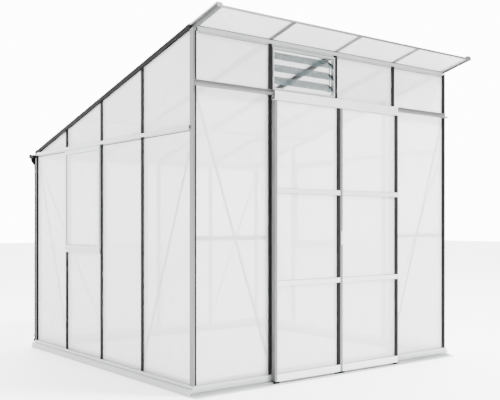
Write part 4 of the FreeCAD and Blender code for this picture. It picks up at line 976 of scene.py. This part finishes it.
# %% Head seal and eaves closures
SEAL_RADIUS = 0.0022
SLOPE = math.atan(ROOF_RISE)
SEAL_SUNK = 0.7
CLOSURE_WIDE = 0.588
CLOSURE_IN = 0.004
CLOSURE_UP = 0.0035
EDGE_BAY_SHIFT = 0.009


def closure_recipe():
    recipe = Recipe("sheet_closure", wide=CLOSURE_WIDE, leg=0.011, inside=0.0042,
                    thick=0.0012, slope=SLOPE)
    size = recipe.given
    half = size("inside") / 2 + size("thick") / 2
    legs = [recipe.block(size("wide"), size("leg"), size("thick"), (0, 0, side * half))
            for side in (-1, 1)]
    web = recipe.block(size("wide"), size("thick"), size("inside") + size("thick") * 2,
                       (0, size("leg") / 2, 0))
    turn = recipe.point(0 - size("slope"), 0, 0)
    points = recipe.given("Geometry")
    return recipe.close(recipe.on_points(points, recipe.together(*legs, web), turn))


seal = (0, head_low[1] - SEAL_RADIUS * SEAL_SUNK, head_high[2] - SEAL_RADIUS)
round_bead.make("head_seal", spots_mesh([(seal, TO_FRONT)]), nylon_black, "frame",
                "black_trim", length=head_high[0] - head_low[0], radius=SEAL_RADIUS)
roof_low, roof_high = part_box("roof_panels")
bay_middles = [-1.5 * BAY + EDGE_BAY_SHIFT, -0.5 * BAY, 0.5 * BAY, 1.5 * BAY - EDGE_BAY_SHIFT]
sheet_ends = [((x, roof_high[1] - CLOSURE_IN, roof_low[2] + CLOSURE_UP), TO_REAR)
              for x in bay_middles]
closure_recipe().make("sheet_closures", spots_mesh(sheet_ends), level_metal, "frame",
                      "aluminium")

# %% [markdown]
# ## Gaskets
#
# A rubber gasket closes the gap between a sheet and the bar that holds it. From outside it is
# the fine dark line round each pane of the doors and windows and under the rails. Under the
# side rails the cord is much thicker than a gasket, so it is partly a gasket and partly painted
# shade: the dark line of shade under the rail. It is made as it would be cut: a line is drawn
# round the opening and a round cord is swept along it.

# %% Gaskets
CORD = 0.0013
GROOVE = 0.0037
STRIP_HALF = 0.0145
RAIL_DEEP = 0.032
# The side rails' cord is thick enough to stand for the shade under the rail as well: partly
# gasket, partly painted shade.
RAIL_CORD_AND_SHADE = 0.0032
CORNER_CLEAR = 0.03


def cord_recipe():
    recipe = Recipe("rubber_cord", radius=CORD)
    line = recipe.add("GeometryNodeMeshToCurve", None, {"Mesh": recipe.given("Geometry")})
    ring = recipe.add("GeometryNodeCurvePrimitiveCircle", None,
                      {"Resolution": 8, "Radius": recipe.given("radius")})
    cord = recipe.add("GeometryNodeCurveToMesh", None,
                      {"Curve": line, "Profile Curve": ring, "Fill Caps": True})
    return recipe.close(cord)


def lines_mesh(lines, closed):
    """Each line is a list of corners. A closed one runs back to its first corner."""
    corners, edges = [], []
    for line in lines:
        first = len(corners)
        corners += line
        edges += [(first + index, first + index + 1) for index in range(len(line) - 1)]
        if closed:
            edges.append((len(corners) - 1, first))
    mesh = bpy.data.meshes.new("lines")
    mesh.from_pydata(corners, edges, [])
    return mesh


def ring_round(low, high, place):
    """The four corners of an opening, pulled in by the groove and the cord's own radius."""
    inset = GROOVE + CORD
    return [place(low[0] + inset, low[1] + inset), place(high[0] - inset, low[1] + inset),
            place(high[0] - inset, high[1] - inset), place(low[0] + inset, high[1] - inset)]


cord = cord_recipe()
for side in ("left", "right"):
    low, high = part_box(f"{side}_door_panes")
    door_low, door_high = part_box(f"{side}_door_rails")
    clear = (door_high[2] - door_low[2] - COVER_HIGH - FOOT_HIGH - 2 * RAIL_HIGH) / 3
    sill = door_low[2] + FOOT_HIGH
    rings = []
    for index in range(3):
        foot = sill + index * (clear + RAIL_HIGH)
        rings.append(ring_round((low[0], foot - GROOVE), (high[0], foot + clear + GROOVE),
                                lambda x, z: (x, low[1] - CORD / 2, z)))
    cord.make(f"{side}_door_gaskets", lines_mesh(rings, True), nylon_black, f"{side}_door",
              "black_trim")
    low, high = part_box(f"{side}_window_pane")
    x = low[0] - CORD / 2 if side == "left" else high[0] + CORD / 2
    ring = ring_round((low[1], low[2]), (high[1], high[2]), lambda y, z: (x, y, z))
    cord.make(f"{side}_window_gasket", lines_mesh([ring], True), nylon_black,
              f"{side}_window", "black_trim")

side_lines, head_lines = [], []
wall_ys = [FRONT_Y + CORNER_CLEAR, *BAR_Y, REAR_Y - CORNER_CLEAR]
for side in ("left", "right"):
    low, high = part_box(f"{side}_wall_panels")
    x = low[0] - RAIL_CORD_AND_SHADE / 2 if side == "left" else high[0] + RAIL_CORD_AND_SHADE / 2
    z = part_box("side_cross_rails")[1][2] - RAIL_DEEP - RAIL_CORD_AND_SHADE / 2
    for near, far in zip(wall_ys[:-1], wall_ys[1:]):
        if near != BAR_Y[1]:    # the bay behind the middle bar holds the window
            side_lines.append([(x, near + STRIP_HALF, z), (x, far - STRIP_HALF, z)])
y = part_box("front_wall_panels")[0][1] - CORD / 2
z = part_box("front_wall_bars")[1][2] - CORD / 2
wall_xs = [LEFT_X + CORNER_CLEAR, -BAY, 0, BAY, RIGHT_X - CORNER_CLEAR]
for near, far in zip(wall_xs[:-1], wall_xs[1:]):
    head_lines.append([(near + STRIP_HALF, y, z), (far - STRIP_HALF, y, z)])
# Under the side rails the thick cord is partly a gasket and partly painted shade.
cord.make("side_rail_gaskets_and_shade", lines_mesh(side_lines, False), nylon_black, "frame",
          "black_trim", radius=RAIL_CORD_AND_SHADE)
cord.make("head_rail_gaskets", lines_mesh(head_lines, False), nylon_black, "frame",
          "black_trim")

# %% [markdown]
# ## Door grip
#
# The right door is pulled by a small bright grip on its free stile. The photograph shows
# little more than its height, so its section is a guess. A block with rounded edges would do as
# well. This one is a round bar with a ball at each end, squeezed to half its depth, because
# that takes only three sizes.

# %% Door grip
GRIP_Z = (0.955, 1.059)
GRIP_ACROSS = 0.012
GRIP_INSET = 0.01


def grip_recipe():
    recipe = Recipe("round_grip", length=0.1, across=GRIP_ACROSS, flat=0.5)
    size = recipe.given
    radius = size("across") / 2
    bar = recipe.rod(24, radius, size("length"), 0)
    ball = recipe.add("GeometryNodeMeshUVSphere", None,
                      {"Segments": 24, "Rings": 12, "Radius": radius})
    ends = [recipe.moved(ball, recipe.point(0, 0, side * size("length") / 2))
            for side in (-1, 1)]
    whole = recipe.moved(recipe.together(bar, *ends), (0, 0, 0),
                         scale=recipe.point(1, size("flat"), 1))
    points = recipe.given("Geometry")
    return recipe.close(recipe.on_points(points, whole))


grip_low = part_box("right_door_stiles")[0]
grip_spot = (grip_low[0] + GRIP_INSET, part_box("right_door_rails")[0][1],
             (GRIP_Z[0] + GRIP_Z[1]) / 2)
grip_recipe().make("right_door_grip", spots_mesh([(grip_spot, TO_FRONT)]), bolt_metal,
                   "right_door", "aluminium", length=GRIP_Z[1] - GRIP_Z[0] - GRIP_ACROSS)

# %% [markdown]
# ## Treads on the threshold
#
# The step plate in front of the doors has fine ribs along its outer edge, so that a wet shoe
# doesn't slip. A bump in the finish would shade like ribs but stay flat, so each rib is a thin
# block, laid out in a row.

# %% Threshold treads
TREADS = 4
TREAD_EDGE = 0.0045
PLATE_TOP = 0.008


def tread_recipe():
    recipe = Recipe("treads", count=TREADS, step=0.004, length=2.5, wide=0.0016, high=0.0012)
    size = recipe.given
    rib = recipe.block(size("length"), size("wide"), size("high"), (0, 0, size("high") / 2))
    row = recipe.row(size("count"), recipe.point(0, size("step"), 0))
    points = recipe.given("Geometry")
    return recipe.close(recipe.on_points(points, recipe.on_points(row, rib)))


step_low, step_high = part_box("door_threshold")
tread_spot = (0, step_low[1] + TREAD_EDGE, PLATE_TOP)
tread_recipe().make("threshold_treads", spots_mesh([(tread_spot, TO_FRONT)]), level_metal,
                    "frame", "aluminium", length=step_high[0] - step_low[0])

# %% [markdown]
# ## Floor
#
# A plain pale floor, large enough that its edge lies far behind the greenhouse. In a studio
# such a floor is lit on its own until it comes out nearly white, so it glows a little.

# %% Floor
FLOOR_GLOW = 1.5
REACH = 40.0


def pale_floor():
    finish = Finish("pale_floor", (0.86, 0.86, 0.86), 0.7)
    finish.set("Emission Color", (1, 1, 1, 1))
    finish.set("Emission Strength", FLOOR_GLOW)
    whole = finish.place()[3]
    soft = finish.noise(whole, 1.2, 2.0, 0.5)
    finish.set("Base Color", finish.mix(soft, (0.85, 0.85, 0.85, 1), (0.875, 0.875, 0.875, 1)))
    return finish.material


floor_mesh = bpy.data.meshes.new("floor")
floor_mesh.from_pydata([(-REACH, -REACH, 0), (REACH, -REACH, 0), (REACH, REACH, 0),
                        (-REACH, REACH, 0)], [], [(0, 1, 2, 3)])
floor_mesh.materials.append(pale_floor())
floor = bpy.data.objects.new("floor", floor_mesh)
bpy.context.scene.collection.objects.link(floor)
print("floor reaches", REACH, "m each way")
